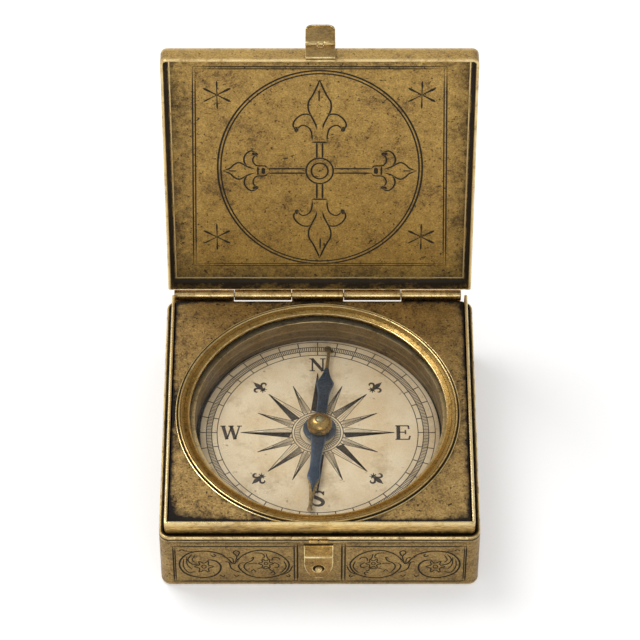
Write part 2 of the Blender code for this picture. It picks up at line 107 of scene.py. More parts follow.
def ring_pattern(corner_steps=9, side_steps=72):
    """Unit pattern of a rectangle with round corners: for each point, which corner's centre it uses
    (blended along the sides, closer together near the corners) and its outward direction."""
    signs = np.array([(1, 1), (-1, 1), (-1, -1), (1, -1)], float)
    quarter = np.radians(np.linspace(0, 90, corner_steps))
    along = 0.5 + 0.5 * np.sin(np.linspace(-np.pi / 2, np.pi / 2, side_steps + 2)[1:-1])
    centres, outward = [], []
    for k in range(4):
        turn = quarter + k * np.pi / 2
        centres.append(np.repeat(signs[k:k + 1], corner_steps, 0))
        outward.append(np.stack([np.cos(turn), np.sin(turn)], -1))
        following = signs[(k + 1) % 4]
        centres.append(signs[k] + (following - signs[k]) * along[:, None])
        outward.append(np.repeat(outward[-1][-1:], side_steps, 0))
    return np.vstack(centres), np.vstack(outward)


RING_CENTRES, RING_OUTWARD = ring_pattern()


def rounded_ring(half_x, half_y, radius):
    """Corner centre plus radius times outward direction, for every point of the ring pattern."""
    centres = RING_CENTRES * (half_x - radius, half_y - radius)
    return centres + RING_OUTWARD * radius


def walled(profile, half_x, half_y, radius, lift=None):
    """A profile of rows (inset, z, wear_and_highlight, grime_and_shade) carried round a rectangle with round
    corners: the row's ring is the rectangle shrunk by its inset, at its height. lift(z, ring) may change the
    heights."""
    profile = np.asarray(profile, float)
    rows = []
    for inset, z, _, _ in profile:
        ring = rounded_ring(half_x - inset, half_y - inset, max(radius - inset, 0.08))
        height = np.full(len(ring), z) if lift is None else lift(z, ring)
        rows.append(np.column_stack([ring, height]))
    points = np.stack(rows)
    return grid(points, profile[:, 2:3], profile[:, 3:4], close_columns=True, first_cap=True, last_cap=True)


def turned(profile, steps=180, closed=True, at=(0, 0, 0)):
    """A profile of (radius, z, wear_and_highlight, grime_and_shade) spun about the upright axis: x and y are
    the radius times the cosine and sine of the turn. A closed profile makes a ring, an open one runs from
    axis to axis."""
    profile = np.asarray(profile, float)
    turn = np.linspace(0, 2 * np.pi, steps, endpoint=False)[:, None]
    radius, z = profile[None, :, 0], profile[None, :, 1]
    points = np.stack([radius * np.cos(turn), radius * np.sin(turn), z + 0 * turn], -1) + at
    return grid(points, profile[None, :, 2], profile[None, :, 3], close_rows=True, close_columns=closed)


def outward_of(outline):
    """Unit normals of a closed outline: each is square to the line between the point's two neighbours."""
    along = np.roll(outline, -1, 0) - np.roll(outline, 1, 0)
    normal = np.stack([along[:, 1], -along[:, 0]], -1)
    normal /= np.maximum(np.linalg.norm(normal, axis=1, keepdims=True), 1e-9)
    x, y = outline.T
    turning = np.sum(x * np.roll(y, -1) - np.roll(x, -1) * y)
    return normal if turning > 0 else -normal


def slab(outline, low, high, bevel=0.08, grime_and_shade=0.0, edge_wear_and_highlight=0.8):
    """A flat outline given thickness along z, its edges a quarter round: near each face the outline
    is drawn in by bevel times one less the sine of the way round."""
    outline = np.asarray(outline, float)
    normal = outward_of(outline)
    way = np.radians([0, 30, 60, 90])
    inset = bevel * (1 - np.sin(way))
    rise = bevel * (1 - np.cos(way))
    insets = np.concatenate([inset, inset[::-1]])
    heights = np.concatenate([low + rise, high - rise[::-1]])
    flat = outline[None] - normal[None] * insets[:, None, None]
    points = np.dstack([flat, np.repeat(heights[:, None], len(outline), 1)])
    # The rounded edges are brightened: partly worn brass, partly a painted highlight along each edge.
    wear_and_highlight = np.array([0.1, 0.7, 1, 0.5, 0.5, 1, 0.7, 0.1])[:, None] * edge_wear_and_highlight
    return grid(points, wear_and_highlight, grime_and_shade, close_columns=True, first_cap=True, last_cap=True)


def upright(points):
    """A slab drawn in (x, z) with its thickness along y: the outline's second axis becomes z."""
    return points[:, [0, 2, 1]]


def along_x(points):
    """A slab drawn in (y, z) with its thickness along x."""
    return points[:, [2, 0, 1]]


def rectangle(left, bottom, right, top, radius=0.3, steps=5):
    """A rectangle with round corners, as one outline."""
    return np.vstack([arc(right - radius, top - radius, radius, 0, 90, steps),
                      arc(left + radius, top - radius, radius, 90, 180, steps),
                      arc(left + radius, bottom + radius, radius, 180, 270, steps),
                      arc(right - radius, bottom + radius, radius, 270, 360, steps)])


def open_lid(points):
    """Turns points drawn on the shut lid about the hinge to where the open lid stands."""
    y, z = points[:, 1] - HINGE_Y, points[:, 2] - HINGE_Z
    c, s = math.cos(LID_OPEN), math.sin(LID_OPEN)
    return np.column_stack([points[:, 0], HINGE_Y + y * c + z * s, HINGE_Z - y * s + z * c])


def turn_needle(points):
    """Turns points drawn along the north-south line to where the needle rests."""
    c, s = math.cos(NEEDLE_TURN), math.sin(NEEDLE_TURN)
    x, y, z = points.T
    return np.column_stack([x * c - y * s, x * s + y * c, z])


def join(parts):
    """Several parts as one: points one after another, with the faces' numbers moved along."""
    starts = np.cumsum([0] + [len(p[0]) for p in parts[:-1]])
    faces = [[int(v) + int(start) for v in face] for part, start in zip(parts, starts) for face in part[1]]
    return (np.vstack([p[0] for p in parts]), faces,
            np.concatenate([p[2] for p in parts]), np.concatenate([p[3] for p in parts]))


def piece(name, parts, body, slot, finish, *nodes):
    """Makes one mesh of the parts, in metres at the origin: doubles merged so that poles close, faces
    turned outwards, and edges sharper than the limit kept crisp. It rides on its body."""
    points, faces, wear_and_highlight, grime_and_shade = join(parts)
    mesh = bpy.data.meshes.new(name)
    mesh.from_pydata((points * MM).tolist(), [], faces)
    for label, values in (("wear_and_highlight", wear_and_highlight), ("grime_and_shade", grime_and_shade)):
        mesh.attributes.new(label, "FLOAT", "POINT").data.foreach_set("value", values.astype(np.float32))
    work = bmesh.new()
    work.from_mesh(mesh)
    bmesh.ops.remove_doubles(work, verts=work.verts, dist=1e-7)
    bmesh.ops.recalc_face_normals(work, faces=work.faces)
    for face in work.faces:
        face.smooth = True
    for edge in work.edges:
        edge.smooth = len(edge.link_faces) == 2 and edge.calc_face_angle() < SHARP_ANGLE
    work.to_mesh(mesh)
    work.free()
    made = bpy.data.objects.new(name, mesh)
    bpy.context.scene.collection.objects.link(made)
    made.data.materials.append(finish)
    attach(made, body)
    if nodes:
        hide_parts(*nodes)
    return made


# ---------------------------------------------------------------- finishes

def put(tree, kind, inputs=None, **settings):
    """Adds one node: settings first, then each input linked if it is a socket, or set if it is a value."""
    made = tree.nodes.new("ShaderNode" + kind)
    for key, value in settings.items():
        setattr(made, key, value)
    for key, value in (inputs or {}).items():
        if isinstance(value, bpy.types.NodeSocket):
            tree.links.new(value, made.inputs[key])
        else:
            made.inputs[key].default_value = value
    return made


def noise(tree, vector, scale, detail=4.0, rough=0.6):
    """A cloudy noise from 0 to 1 at a scale."""
    return put(tree, "TexNoise", {"Vector": vector, "Scale": scale, "Detail": detail,
                                  "Roughness": rough}).outputs[0]


def span(tree, value, low, high, start=0.0, end=1.0):
    """Carries a value from the range low to high into the range start to end."""
    return put(tree, "MapRange", {"Value": value, "From Min": low, "From Max": high,
                                  "To Min": start, "To Max": end}).outputs[0]


def maths(tree, operation, a, b=0.0):
    """One sum of two values; an addition is kept between 0 and 1."""
    return put(tree, "Math", {0: a, 1: b}, operation=operation, use_clamp=operation == "ADD").outputs[0]


def blend(tree, factor, a, b, mode="MIX"):
    """Two colours mixed by a factor."""
    return put(tree, "Mix", {0: factor, 6: a, 7: b}, data_type="RGBA", blend_type=mode).outputs[2]


def shared_group(name, inputs, outputs):
    """A node group with named sockets; returns it with its inside ends."""
    tree = bpy.data.node_groups.new(name, "ShaderNodeTree")
    kinds = {"v": "NodeSocketVector", "f": "NodeSocketFloat", "c": "NodeSocketColor"}
    for label, kind in inputs:
        tree.interface.new_socket(name=label, in_out="INPUT", socket_type=kinds[kind])
    for label, kind in outputs:
        tree.interface.new_socket(name=label, in_out="OUTPUT", socket_type=kinds[kind])
    return tree, tree.nodes.new("NodeGroupInput").outputs, tree.nodes.new("NodeGroupOutput").inputs


def make_tarnish():
    """Old metal: it drifts between a bright, a middle and a dark tone, the border between two tones broken
    into fine grains, with mottling at two sizes and small dark pits; the pits are sunk and rougher."""
    tree, given, result = shared_group(
        "tarnish", [("Vector", "v"), ("Bright", "c"), ("Middle", "c"), ("Dark", "c"), ("Patch Scale", "f"),
                    ("Speck Scale", "f"), ("Specks", "f"), ("Smooth", "f"), ("Rough", "f")],
        [("Color", "c"), ("Roughness", "f"), ("Height", "f")])
    vector = given["Vector"]
    patch = noise(tree, vector, given["Patch Scale"], 5.0, 0.62)
    cloud = noise(tree, vector, maths(tree, "MULTIPLY", given["Patch Scale"], 4.3), 5.0, 0.7)
    fine = noise(tree, vector, given["Speck Scale"], 4.0, 0.75)
    wide = maths(tree, "ADD", maths(tree, "MULTIPLY", patch, 0.42), maths(tree, "MULTIPLY", cloud, 0.30))
    wide = maths(tree, "ADD", wide, maths(tree, "MULTIPLY", fine, 0.28))
    tone = blend(tree, span(tree, wide, 0.39, 0.49), given["Dark"], given["Middle"])
    tone = blend(tree, span(tree, wide, 0.50, 0.60), tone, given["Bright"])
    mottle = span(tree, fine, 0.32, 0.68, 0.66, 1.26)
    grey = put(tree, "CombineColor", {0: mottle, 1: mottle, 2: mottle}).outputs[0]
    tone = blend(tree, 1.0, tone, grey, "MULTIPLY")
    pit_scale = maths(tree, "MULTIPLY", given["Speck Scale"], 0.55)
    pit = span(tree, noise(tree, vector, pit_scale, 3.0, 0.6), 0.61, 0.68)
    pit = maths(tree, "MULTIPLY", pit, given["Specks"])
    tree.links.new(blend(tree, pit, tone, (0.03, 0.018, 0.008, 1)), result["Color"])
    rough = put(tree, "MapRange", {"Value": wide, "From Min": 0.42, "From Max": 0.62,
                                   "To Min": given["Rough"], "To Max": given["Smooth"]}).outputs[0]
    tree.links.new(maths(tree, "ADD", rough, maths(tree, "MULTIPLY", pit, 0.25)), result["Roughness"])
    height = maths(tree, "SUBTRACT", maths(tree, "MULTIPLY", fine, 0.5), pit)
    tree.links.new(height, result["Height"])
    return tree


def make_handling_and_painted_light():
    """What use does to old metal, with painted light laid on the same two masks: worn edges go bright and
    smooth, and the bright mask also paints highlights along rims, lips and ridges; corners and crevices go
    grimy, and the dark mask also paints shade in corners, hollows and the gaps between parts.
    Both masks are broken up by a noise so that neither ends in a clean line."""
    tree, given, result = shared_group(
        "handling_and_painted_light", [("Vector", "v"), ("Color", "c"), ("Roughness", "f"), ("Wear And Highlight", "f"), ("Grime And Shade", "f"),
                     ("Rubbed", "c"), ("Dirt And Shade", "c")],
        [("Color", "c"), ("Roughness", "f")])
    broken = noise(tree, given["Vector"], 900.0, 4.0, 0.7)
    slow = noise(tree, given["Vector"], 210.0, 3.0, 0.6)
    mixed = maths(tree, "ADD", maths(tree, "MULTIPLY", broken, 0.55), maths(tree, "MULTIPLY", slow, 0.45))
    # Bright mask: worn brass and painted highlights together, broken by the noise.
    rub_and_highlight = maths(tree, "MULTIPLY", given["Wear And Highlight"], span(tree, mixed, 0.40, 0.53, 0.25, 1.0))
    # Dark mask: real soiling and painted shade together.
    soil_and_shade = span(tree, maths(tree, "ADD", maths(tree, "MULTIPLY", given["Grime And Shade"], 1.15),
                            span(tree, mixed, 0.4, 0.62, -0.28, 0.22)), 0.14, 0.82)
    soil_and_shade = maths(tree, "MULTIPLY", soil_and_shade, span(tree, given["Grime And Shade"], 0.0, 0.06))
    tone = blend(tree, rub_and_highlight, given["Color"], given["Rubbed"])
    tree.links.new(blend(tree, soil_and_shade, tone, given["Dirt And Shade"]), result["Color"])
    rough = put(tree, "MapRange", {"Value": rub_and_highlight, "From Min": 0.0, "From Max": 1.0,
                                   "To Min": given["Roughness"], "To Max": 0.22}).outputs[0]
    tree.links.new(maths(tree, "ADD", rough, maths(tree, "MULTIPLY", soil_and_shade, 0.3)), result["Roughness"])
    return tree


TARNISH, HANDLING_AND_PAINTED_LIGHT = make_tarnish(), make_handling_and_painted_light()


def new_material(name):
    """A node material: it returns the material, its tree, its shader and the Object coordinates."""
    material = bpy.data.materials.new(name)
    material.use_nodes = True
    tree = material.node_tree
    place = put(tree, "TexCoord").outputs["Object"]
    return material, tree, tree.nodes["Principled BSDF"], place


BUMP_STRENGTH, BUMP_DEPTH = 0.25, 0.00004


def old_metal(name, bright, middle, dark, smooth, rough, patch=230.0, speck=1900.0, specks=0.8,
              metallic=0.9, stretch=(1, 1, 1), rubbed_and_highlight=(0.95, 0.72, 0.34), dirt_and_shade=(0.035, 0.024, 0.012)):
    """A worn metal made of the two shared groups, with its grain stretched along an axis if asked."""
    material, tree, shader, place = new_material(name)
    grained = put(tree, "Mapping", {"Vector": place, "Scale": stretch}).outputs[0]
    aged = put(tree, "Group", {
        "Vector": grained, "Bright": (*bright, 1), "Middle": (*middle, 1), "Dark": (*dark, 1),
        "Patch Scale": patch, "Speck Scale": speck, "Specks": specks, "Smooth": smooth, "Rough": rough},
               node_tree=TARNISH).outputs
    wear_and_highlight, grime_and_shade = (put(tree, "Attribute", attribute_name=label).outputs["Fac"] for label in ("wear_and_highlight", "grime_and_shade"))
    used = put(tree, "Group", {
        "Vector": place, "Color": aged["Color"], "Roughness": aged["Roughness"], "Wear And Highlight": wear_and_highlight,
        "Grime And Shade": grime_and_shade, "Rubbed": (*rubbed_and_highlight, 1), "Dirt And Shade": (*dirt_and_shade, 1)}, node_tree=HANDLING_AND_PAINTED_LIGHT).outputs
    relief = put(tree, "Bump", {"Strength": BUMP_STRENGTH, "Distance": BUMP_DEPTH, "Height": aged["Height"]})
    tree.links.new(used["Color"], shader.inputs["Base Color"])
    tree.links.new(used["Roughness"], shader.inputs["Roughness"])
    tree.links.new(relief.outputs[0], shader.inputs["Normal"])
    shader.inputs["Metallic"].default_value = metallic
    return material


CASE_BRASS = old_metal("case_brass", (0.42, 0.275, 0.09), (0.31, 0.195, 0.062), (0.16, 0.095, 0.034),
                       0.32, 0.48,
                       patch=210.0, speck=2600.0, specks=0.8, metallic=0.75)
LID_BRASS = old_metal("lid_brass", (0.60, 0.38, 0.100), (0.47, 0.288, 0.072), (0.20, 0.112, 0.034),
                      0.38, 0.52,
                      patch=150.0, speck=2300.0, specks=0.9, metallic=0.4)
PLATE_BRASS = old_metal("plate_brass", (0.53, 0.350, 0.128), (0.36, 0.228, 0.074), (0.12, 0.070, 0.030),
                        0.34, 0.52,
                        patch=230.0, speck=2100.0, specks=1.0, metallic=0.7, dirt_and_shade=(0.02, 0.015, 0.012))
FRAME_BRASS = old_metal("frame_brass", (0.70, 0.465, 0.15), (0.55, 0.35, 0.105), (0.25, 0.145, 0.048),
                        0.26, 0.42,
                        patch=150.0, speck=2400.0, specks=0.6, metallic=0.85, stretch=(0.22, 0.5, 1),
                        rubbed_and_highlight=(1.0, 0.80, 0.42))
RING_BRASS = old_metal("ring_brass", (0.52, 0.325, 0.098), (0.40, 0.25, 0.068), (0.19, 0.112, 0.034),
                       0.20, 0.34,
                       patch=200.0, speck=1500.0, specks=0.3, metallic=0.9, rubbed_and_highlight=(0.95, 0.74, 0.36))
HINGE_BRASS = old_metal("hinge_brass", (0.74, 0.52, 0.20), (0.56, 0.37, 0.125), (0.17, 0.10, 0.040),
                        0.24, 0.38,
                        patch=420.0, speck=2600.0, specks=0.9, metallic=0.95, rubbed_and_highlight=(0.88, 0.68, 0.34))
# A darker copy of the brass: its tones paint the shade inside the deep bowl.
SHADED_BOWL_BRASS = old_metal("bowl_brass", (0.25, 0.158, 0.050), (0.17, 0.105, 0.034), (0.10, 0.06, 0.02),
                       0.36, 0.52,
                       patch=60.0, speck=900.0, specks=0.1, metallic=0.75, stretch=(1, 1, 9))
HASP_BRASS = old_metal("hasp_brass", (0.42, 0.255, 0.070), (0.32, 0.185, 0.048), (0.16, 0.09, 0.026),
                       0.28, 0.44,
                       patch=260.0, speck=2300.0, specks=0.6, metallic=0.8, rubbed_and_highlight=(1.0, 0.82, 0.42))
GILT = old_metal("gilt", (0.36, 0.25, 0.09), (0.20, 0.13, 0.05), (0.08, 0.05, 0.024), 0.3, 0.45, specks=0.5)
STEEL = old_metal("steel", (0.42, 0.40, 0.37), (0.33, 0.31, 0.28), (0.19, 0.17, 0.15), 0.25, 0.45,
                  rubbed_and_highlight=(0.7, 0.68, 0.62))
BLUED_STEEL = old_metal("blued_steel", (0.040, 0.075, 0.125), (0.024, 0.042, 0.072), (0.016, 0.018, 0.024),
                        0.30, 0.44, patch=110.0, speck=2600.0, specks=0.2, metallic=0.5,
                        rubbed_and_highlight=(0.16, 0.20, 0.25), dirt_and_shade=(0.01, 0.01, 0.012))


def make_paper():
    """Old card: cream, drifting warmer in slow clouds, with soft brown stains, a few foxing spots,
    fibre mottling, and a painted shade that darkens it towards the rim, beside the bowl wall."""
    material, tree, shader, place = new_material("card_paper")
    slow = noise(tree, place, 95.0, 4.0, 0.6)
    tone = blend(tree, span(tree, slow, 0.38, 0.62), (0.81, 0.63, 0.38, 1), (0.90, 0.755, 0.51, 1))
    stain = span(tree, noise(tree, place, 120.0, 6.0, 0.72), 0.51, 0.68)
    tone = blend(tree, maths(tree, "MULTIPLY", stain, 0.6), tone, (0.48, 0.33, 0.15, 1))
    fibre = span(tree, noise(tree, place, 2600.0, 3.0, 0.7), 0.3, 0.7, 0.92, 1.05)
    grey = put(tree, "CombineColor", {0: fibre, 1: fibre, 2: fibre}).outputs[0]
    tone = blend(tree, 1.0, tone, grey, "MULTIPLY")
    foxing = span(tree, noise(tree, place, 700.0, 2.0, 0.5), 0.69, 0.78)
    tone = blend(tree, maths(tree, "MULTIPLY", foxing, 0.7), tone, (0.33, 0.20, 0.09, 1))
    # Painted shade: the rim mask darkens the card where the bowl wall stands over it.
    rim = put(tree, "Attribute", attribute_name="grime_and_shade").outputs["Fac"]
    tone = blend(tree, maths(tree, "MULTIPLY", rim, 0.75), tone, (0.30, 0.22, 0.13, 1))
    tree.links.new(tone, shader.inputs["Base Color"])
    relief = put(tree, "Bump", {"Strength": 0.15, "Distance": 0.00003,
                                "Height": noise(tree, place, 1800.0, 3.0, 0.6)})
    tree.links.new(relief.outputs[0], shader.inputs["Normal"])
    shader.inputs["Roughness"].default_value = 0.8
    return material


def make_ink():
    """Copperplate ink: grey-brown, thinner and browner in places."""
    material, tree, shader, place = new_material("card_ink")
    thin = span(tree, noise(tree, place, 1500.0, 3.0, 0.6), 0.35, 0.7)
    tone = blend(tree, thin, (0.022, 0.017, 0.013, 1), (0.085, 0.06, 0.036, 1))
    tree.links.new(tone, shader.inputs["Base Color"])
    shader.inputs["Roughness"].default_value = 0.75
    return material


def make_glass():
    """Clear flat glass over the card: mostly see-through, with a faint dusty film that varies over it."""
    material, tree, shader, place = new_material("glass")
    film = span(tree, noise(tree, place, 220.0, 4.0, 0.6), 0.4, 0.75, 0.012, 0.035)
    tree.links.new(film, shader.inputs["Alpha"])
    dust = blend(tree, span(tree, noise(tree, place, 90.0, 3.0, 0.6), 0.4, 0.6),
                 (0.72, 0.68, 0.58, 1), (0.85, 0.83, 0.77, 1))
    tree.links.new(dust, shader.inputs["Base Color"])
    shader.inputs["Roughness"].default_value = 0.06
    return material


def make_jewel():
    """The cap's agate: an olive-brown stone with a slow clouding under a polish."""
    material, tree, shader, place = new_material("jewel_stone")
    cloud = span(tree, noise(tree, place, 900.0, 4.0, 0.6), 0.35, 0.65)
    tone = blend(tree, cloud, (0.16, 0.14, 0.05, 1), (0.34, 0.30, 0.13, 1))
    tree.links.new(tone, shader.inputs["Base Color"])
    shader.inputs["Roughness"].default_value = 0.12
    shader.inputs["Coat Weight"].default_value = 0.6
    return material


PAPER, INK, GLASS, JEWEL = make_paper(), make_ink(), make_glass(), make_jewel()
for node_name, finish in (("pivot_pin", STEEL), ("hinge_pin", STEEL), ("hasp_pin", STEEL),
                          ("pivot_collar", RING_BRASS)):
    for material_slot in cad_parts[node_name].material_slots:
        material_slot.material = finish


# ---------------------------------------------------------------- the case

def rounded_wall(inset, thick, top, low, soft=0.3):
    """Rows up the outer face, over a softly rounded rim and down the inner face of a thin wall."""
    # Painted light: the bright rim top is a painted highlight on worn brass, and the dark inner face is
    # painted shade.
    rows = [(inset, top - soft, 0.5, 0.0), (inset + 0.09 * thick, top - 0.35 * soft, 1, 0),
            (inset + 0.26 * thick, top - 0.04, 1, 0), (inset + 0.5 * thick, top, 1, 0),
            (inset + 0.74 * thick, top - 0.04, 1, 0), (inset + 0.91 * thick, top - 0.35 * soft, 0.9, 0),
            (inset + thick, top - soft, 0.4, 0.1), (inset + thick, low, 0.0, 0.6)]
    return rows


FOOT_R = 0.75
foot = arc(FOOT_R, FOOT_R, FOOT_R, 270, 180, 7)
# The bright foot edge and rim top are painted highlights on worn brass; the dark inner face is painted shade
# in the gap under the frame; the narrow groove at z 17.7-17.85 is darkened.
tray_rows = ([(4.0, 0, 0, 0.5)] + [(x, z, 0.35, 0.1) for x, z in foot]
             + [(0, 1.3, 0, 0.3), (0, 2.4, 0, 0.1), (0, 5.5, 0, 0.05), (0, 10.5, 0, 0.05), (0, 15, 0, 0.1),
                (0, 16.6, 0, 0.3), (0, 17.1, 0.25, 0), (0, 17.45, 0.1, 0.2), (0.06, 17.7, 0, 1),
                (0.06, 17.85, 0, 1), (0, 18.05, 0.3, 0), (0, 18.4, 0.6, 0), (0.07, 18.58, 1, 0),
                (0.2, 18.68, 1, 0), (0.34, 18.7, 0.3, 0.3), (0.6, 18.68, 0, 0.7), (0.93, 18.5, 0, 0.9),
                (1, 18.3, 0, 1), (1, 17.4, 0, 1), (1, 1.4, 0, 1), (1.4, 1, 0, 1)])
piece("tray_shell", [walled(tray_rows, HALF_WIDTH, -FRONT_Y, CASE_CORNER_R)], "case", "case_brass",
      CASE_BRASS, "case_tray")


FRAME_TOP, FRAME_WALL = 22.55, 0.75


def frame_wall():
    """The raised frame's wall section (inset, z) carried along a U: down one side, round the two front
    corners and back up the other side, with its ears open at the hinge."""
    half_x, front, ear, corner = 36.2, -35.05, 35.0, 0.8
    side_steps, front_steps = 60, 90
    # Painted shade: the outer face darkens from z 19.9 down to the tray rim, standing for the shadow in the
    # gap above the tray; lower down it is hidden.
    section = np.array([(0, 1.3, 0, 1), (0, 12, 0, 1), (0, 18.6, 0, 0.95), (0, 19.0, 0, 0.55),
                        (0, 19.9, 0, 0.12), (0, 21.2, 0.1, 0)]
                       + rounded_wall(0.0, FRAME_WALL, FRAME_TOP, 21.9)
                       + [(FRAME_WALL, 20.0, 0, 1), (FRAME_WALL, 1.3, 0, 1)], float)
    down = np.linspace(ear, front + 2, side_steps)
    across = np.linspace(-1, 1, front_steps)
    sections = []
    for inset, z, _, _ in section:
        r = max(corner - inset, 0.06)
        x, y = half_x - inset, front + inset
        left = np.column_stack([np.full(side_steps, -x), down])
        corner_left = arc(-x + r, y + r, r, 180, 270, 7)
        middle = np.column_stack([across * (x - r), np.full(front_steps, y)])
        corner_right = arc(x - r, y + r, r, 270, 360, 7)
        right = np.column_stack([np.full(side_steps, x), down[::-1]])
        path = np.vstack([left, corner_left, middle[1:-1], corner_right, right])
        sections.append(np.column_stack([path, np.full(len(path), z)]))
    points = np.stack(sections, 1)
    return grid(points, section[None, :, 2], section[None, :, 3], close_columns=True, first_cap=True,
                last_cap=True)


BACK_WALL_HALF = 35.25
back_wall = moved(slab(rectangle(-BACK_WALL_HALF, 1.3, BACK_WALL_HALF, 20.8, 0.2, 3), 33.45, 34.25, 0.12,
                       grime_and_shade=0.4), upright)
piece("raised_frame", [frame_wall(), back_wall], "case", "case_brass", FRAME_BRASS, "inner_frame")


PLATE_TOP, PLATE_LOW, PLATE_HALF_X, PLATE_HOLE_R = 21.85, 21.05, 35.2, 32.0


def plate_sheet():
    """The plate between a square edge and a round hole: every point lies on the straight line from a
    point of the hole to the point of the square edge in the same direction."""
    square = rounded_ring(PLATE_HALF_X, 33.85, 0.4) - (0, 0.25)
    middle = np.array(RING_AT[:2])
    aim = np.arctan2(*(square - middle).T[::-1])
    hole = middle + PLATE_HOLE_R * np.stack([np.cos(aim), np.sin(aim)], -1)
    flat = [(way, PLATE_TOP) for way in (0.02, 0.1, 0.2, 0.35, 0.5, 0.65, 0.8, 0.9, 0.96)]
    ways = [(0, PLATE_LOW), (0, PLATE_TOP - 0.1)] + flat + [(1, PLATE_TOP - 0.05), (1, PLATE_LOW)]
    rows = [np.column_stack([hole + (square - hole) * way, np.full(len(hole), z)]) for way, z in ways]
    points = np.stack(rows)
    x, y = np.abs(points[..., 0]), np.abs(points[..., 1])
    edge = np.minimum(PLATE_HALF_X - x, 33.7 - y)
    corner = np.clip((x - 29.5) / 5.5, 0, 1) * np.clip((y - 27.5) / 6.0, 0, 1)
    lower_left = np.clip((-points[..., 1] - 24) / 9, 0, 1) * np.clip((-points[..., 0] - 20) / 12, 0, 1)
    rim = np.hypot(*np.moveaxis(points[..., :2] - middle, -1, 0))
    # Painted shade: dark strips where the plate meets the frame walls and the bezel, deeper in the corners;
    # the plate is also darker towards its front-left corner.
    grime_and_shade = np.clip(0.95 * np.exp(-edge / 0.75) + 0.35 * corner + 0.45 * lower_left
                    + 0.5 * np.exp(-np.abs(rim - 34.2) / 0.35), 0, 1)
    return grid(points, 0.0, grime_and_shade, close_rows=True, close_columns=True)


piece("dial_plate", [plate_sheet()], "case", "plate_brass", PLATE_BRASS, "top_plate")

# The bright crest lines are painted highlights on worn brass; the dark groove lines are painted shade on
# soiled brass.
bezel_rows = [(31.94, 21.6, 0, 0.2), (31.94, 22.1, 0, 0.1), (31.97, 22.19, 0, 0), (32.3, 22.26, 0.05, 0),
              (32.6, 22.3, 0.3, 0), (32.7, 22.24, 0, 0.5), (32.78, 22.25, 0, 0.4), (32.9, 22.38, 0.5, 0),
              (33.1, 22.44, 0.75, 0), (33.26, 22.38, 0.4, 0), (33.38, 22.2, 0, 0.7), (33.46, 21.98, 0, 1),
              (33.62, 21.95, 0, 1), (33.72, 22.02, 0.2, 0.3), (33.84, 22.08, 1, 0), (33.97, 22.04, 0.7, 0),
              (34.08, 21.9, 0.1, 0.5), (34.08, 21.8, 0, 1), (33.3, 21.6, 0, 1)]


FRAME_INSIDE_Y = -34.8


def under_the_frame(points):
    """Carries a ring to its middle; at the front, where it runs under the frame's edge, it stops short."""
    points = points + RING_AT
    return np.column_stack([points[:, 0], np.maximum(points[:, 1], FRAME_INSIDE_Y), points[:, 2]])


piece("bezel_moulding", [moved(turned(bezel_rows, 240), under_the_frame)], "case", "ring_brass", RING_BRASS,
      "bezel_ring")

# The bright line round the lip is a painted highlight on worn brass.
lip_rows = [(30.65, 20.95, 0, 0.8), (30.65, 21.5, 0, 0.5), (30.66, 21.72, 0.3, 0.1), (30.72, 21.86, 1, 0),
            (30.83, 21.92, 1, 0), (30.95, 21.93, 0.8, 0), (31.06, 21.95, 0.2, 0.05), (31.3, 22.02, 0, 0),
            (31.6, 22.11, 0, 0), (31.87, 22.18, 0, 0), (31.92, 22.12, 0, 0.3), (31.92, 20.95, 0, 1)]
piece("glazing_ring", [turned(lip_rows, 240, at=RING_AT)], "case", "ring_brass", RING_BRASS, "glass_ring")

PANE_LOW, PANE_TOP = 19.7, 20.7
pane_rows = [(r, z, 0, 0) for r, z in (
    (0, PANE_LOW), (31.1, PANE_LOW), (31.25, 19.78), (31.3, 19.95), (31.3, 20.45), (31.25, 20.62),
    (31.1, PANE_TOP), (0, PANE_TOP))]
piece("cover_glass", [turned(pane_rows, 180, closed=False, at=RING_AT)], "case", "glass", GLASS, "glass")


def bowl_rows():
    """The bowl's section: floor, coved foot, a wall with two shallow turned beads, the ledge that
    carries the glass, the outer rim and the plain underside."""
    z = np.linspace(12.6, 19.3, 42)
    bead = 0.10 * np.exp(-((z - 14.0) / 0.22) ** 2) + 0.07 * np.exp(-((z - 16.6) / 0.3) ** 2)
    # Painted shade: the wall darkens towards the floor and the coved foot is darkest, as shade inside the
    # deep bowl.
    wall = [(29.6 - b, h, 0.15 + 3 * b, 0.35 - 0.035 * (h - 12.6)) for b, h in zip(bead, z)]
    inside = [(0, 11.5, 0, 0.6), (28.9, 11.5, 0, 0.9), (29.4, 11.65, 0, 1), (29.55, 12.0, 0, 1)]
    rim = [(29.7, 19.42, 0.7, 0), (31.5, 19.45, 0, 0.5), (31.55, 19.6, 0, 0.5), (31.55, 20.7, 0, 0.5),
           (31.65, 20.8, 0.2, 0.5), (33.0, 20.8, 0, 0.5), (33.1, 20.7, 0, 0.5), (33.1, 20.1, 0, 0.5),
           (32.3, 19.9, 0, 0.5), (30.6, 18.4, 0, 0.5), (30.6, 10.9, 0, 0.5), (30.2, 10.5, 0, 0.5),
           (0, 10.5, 0, 0.5)]
    return inside + wall + rim


piece("dial_bowl", [turned(bowl_rows(), 200, closed=False, at=BOWL_AT)], "case", "bowl_brass", SHADED_BOWL_BRASS,
      "compass_bowl")

CARD_R, CARD_LOW = 28.95, 11.8
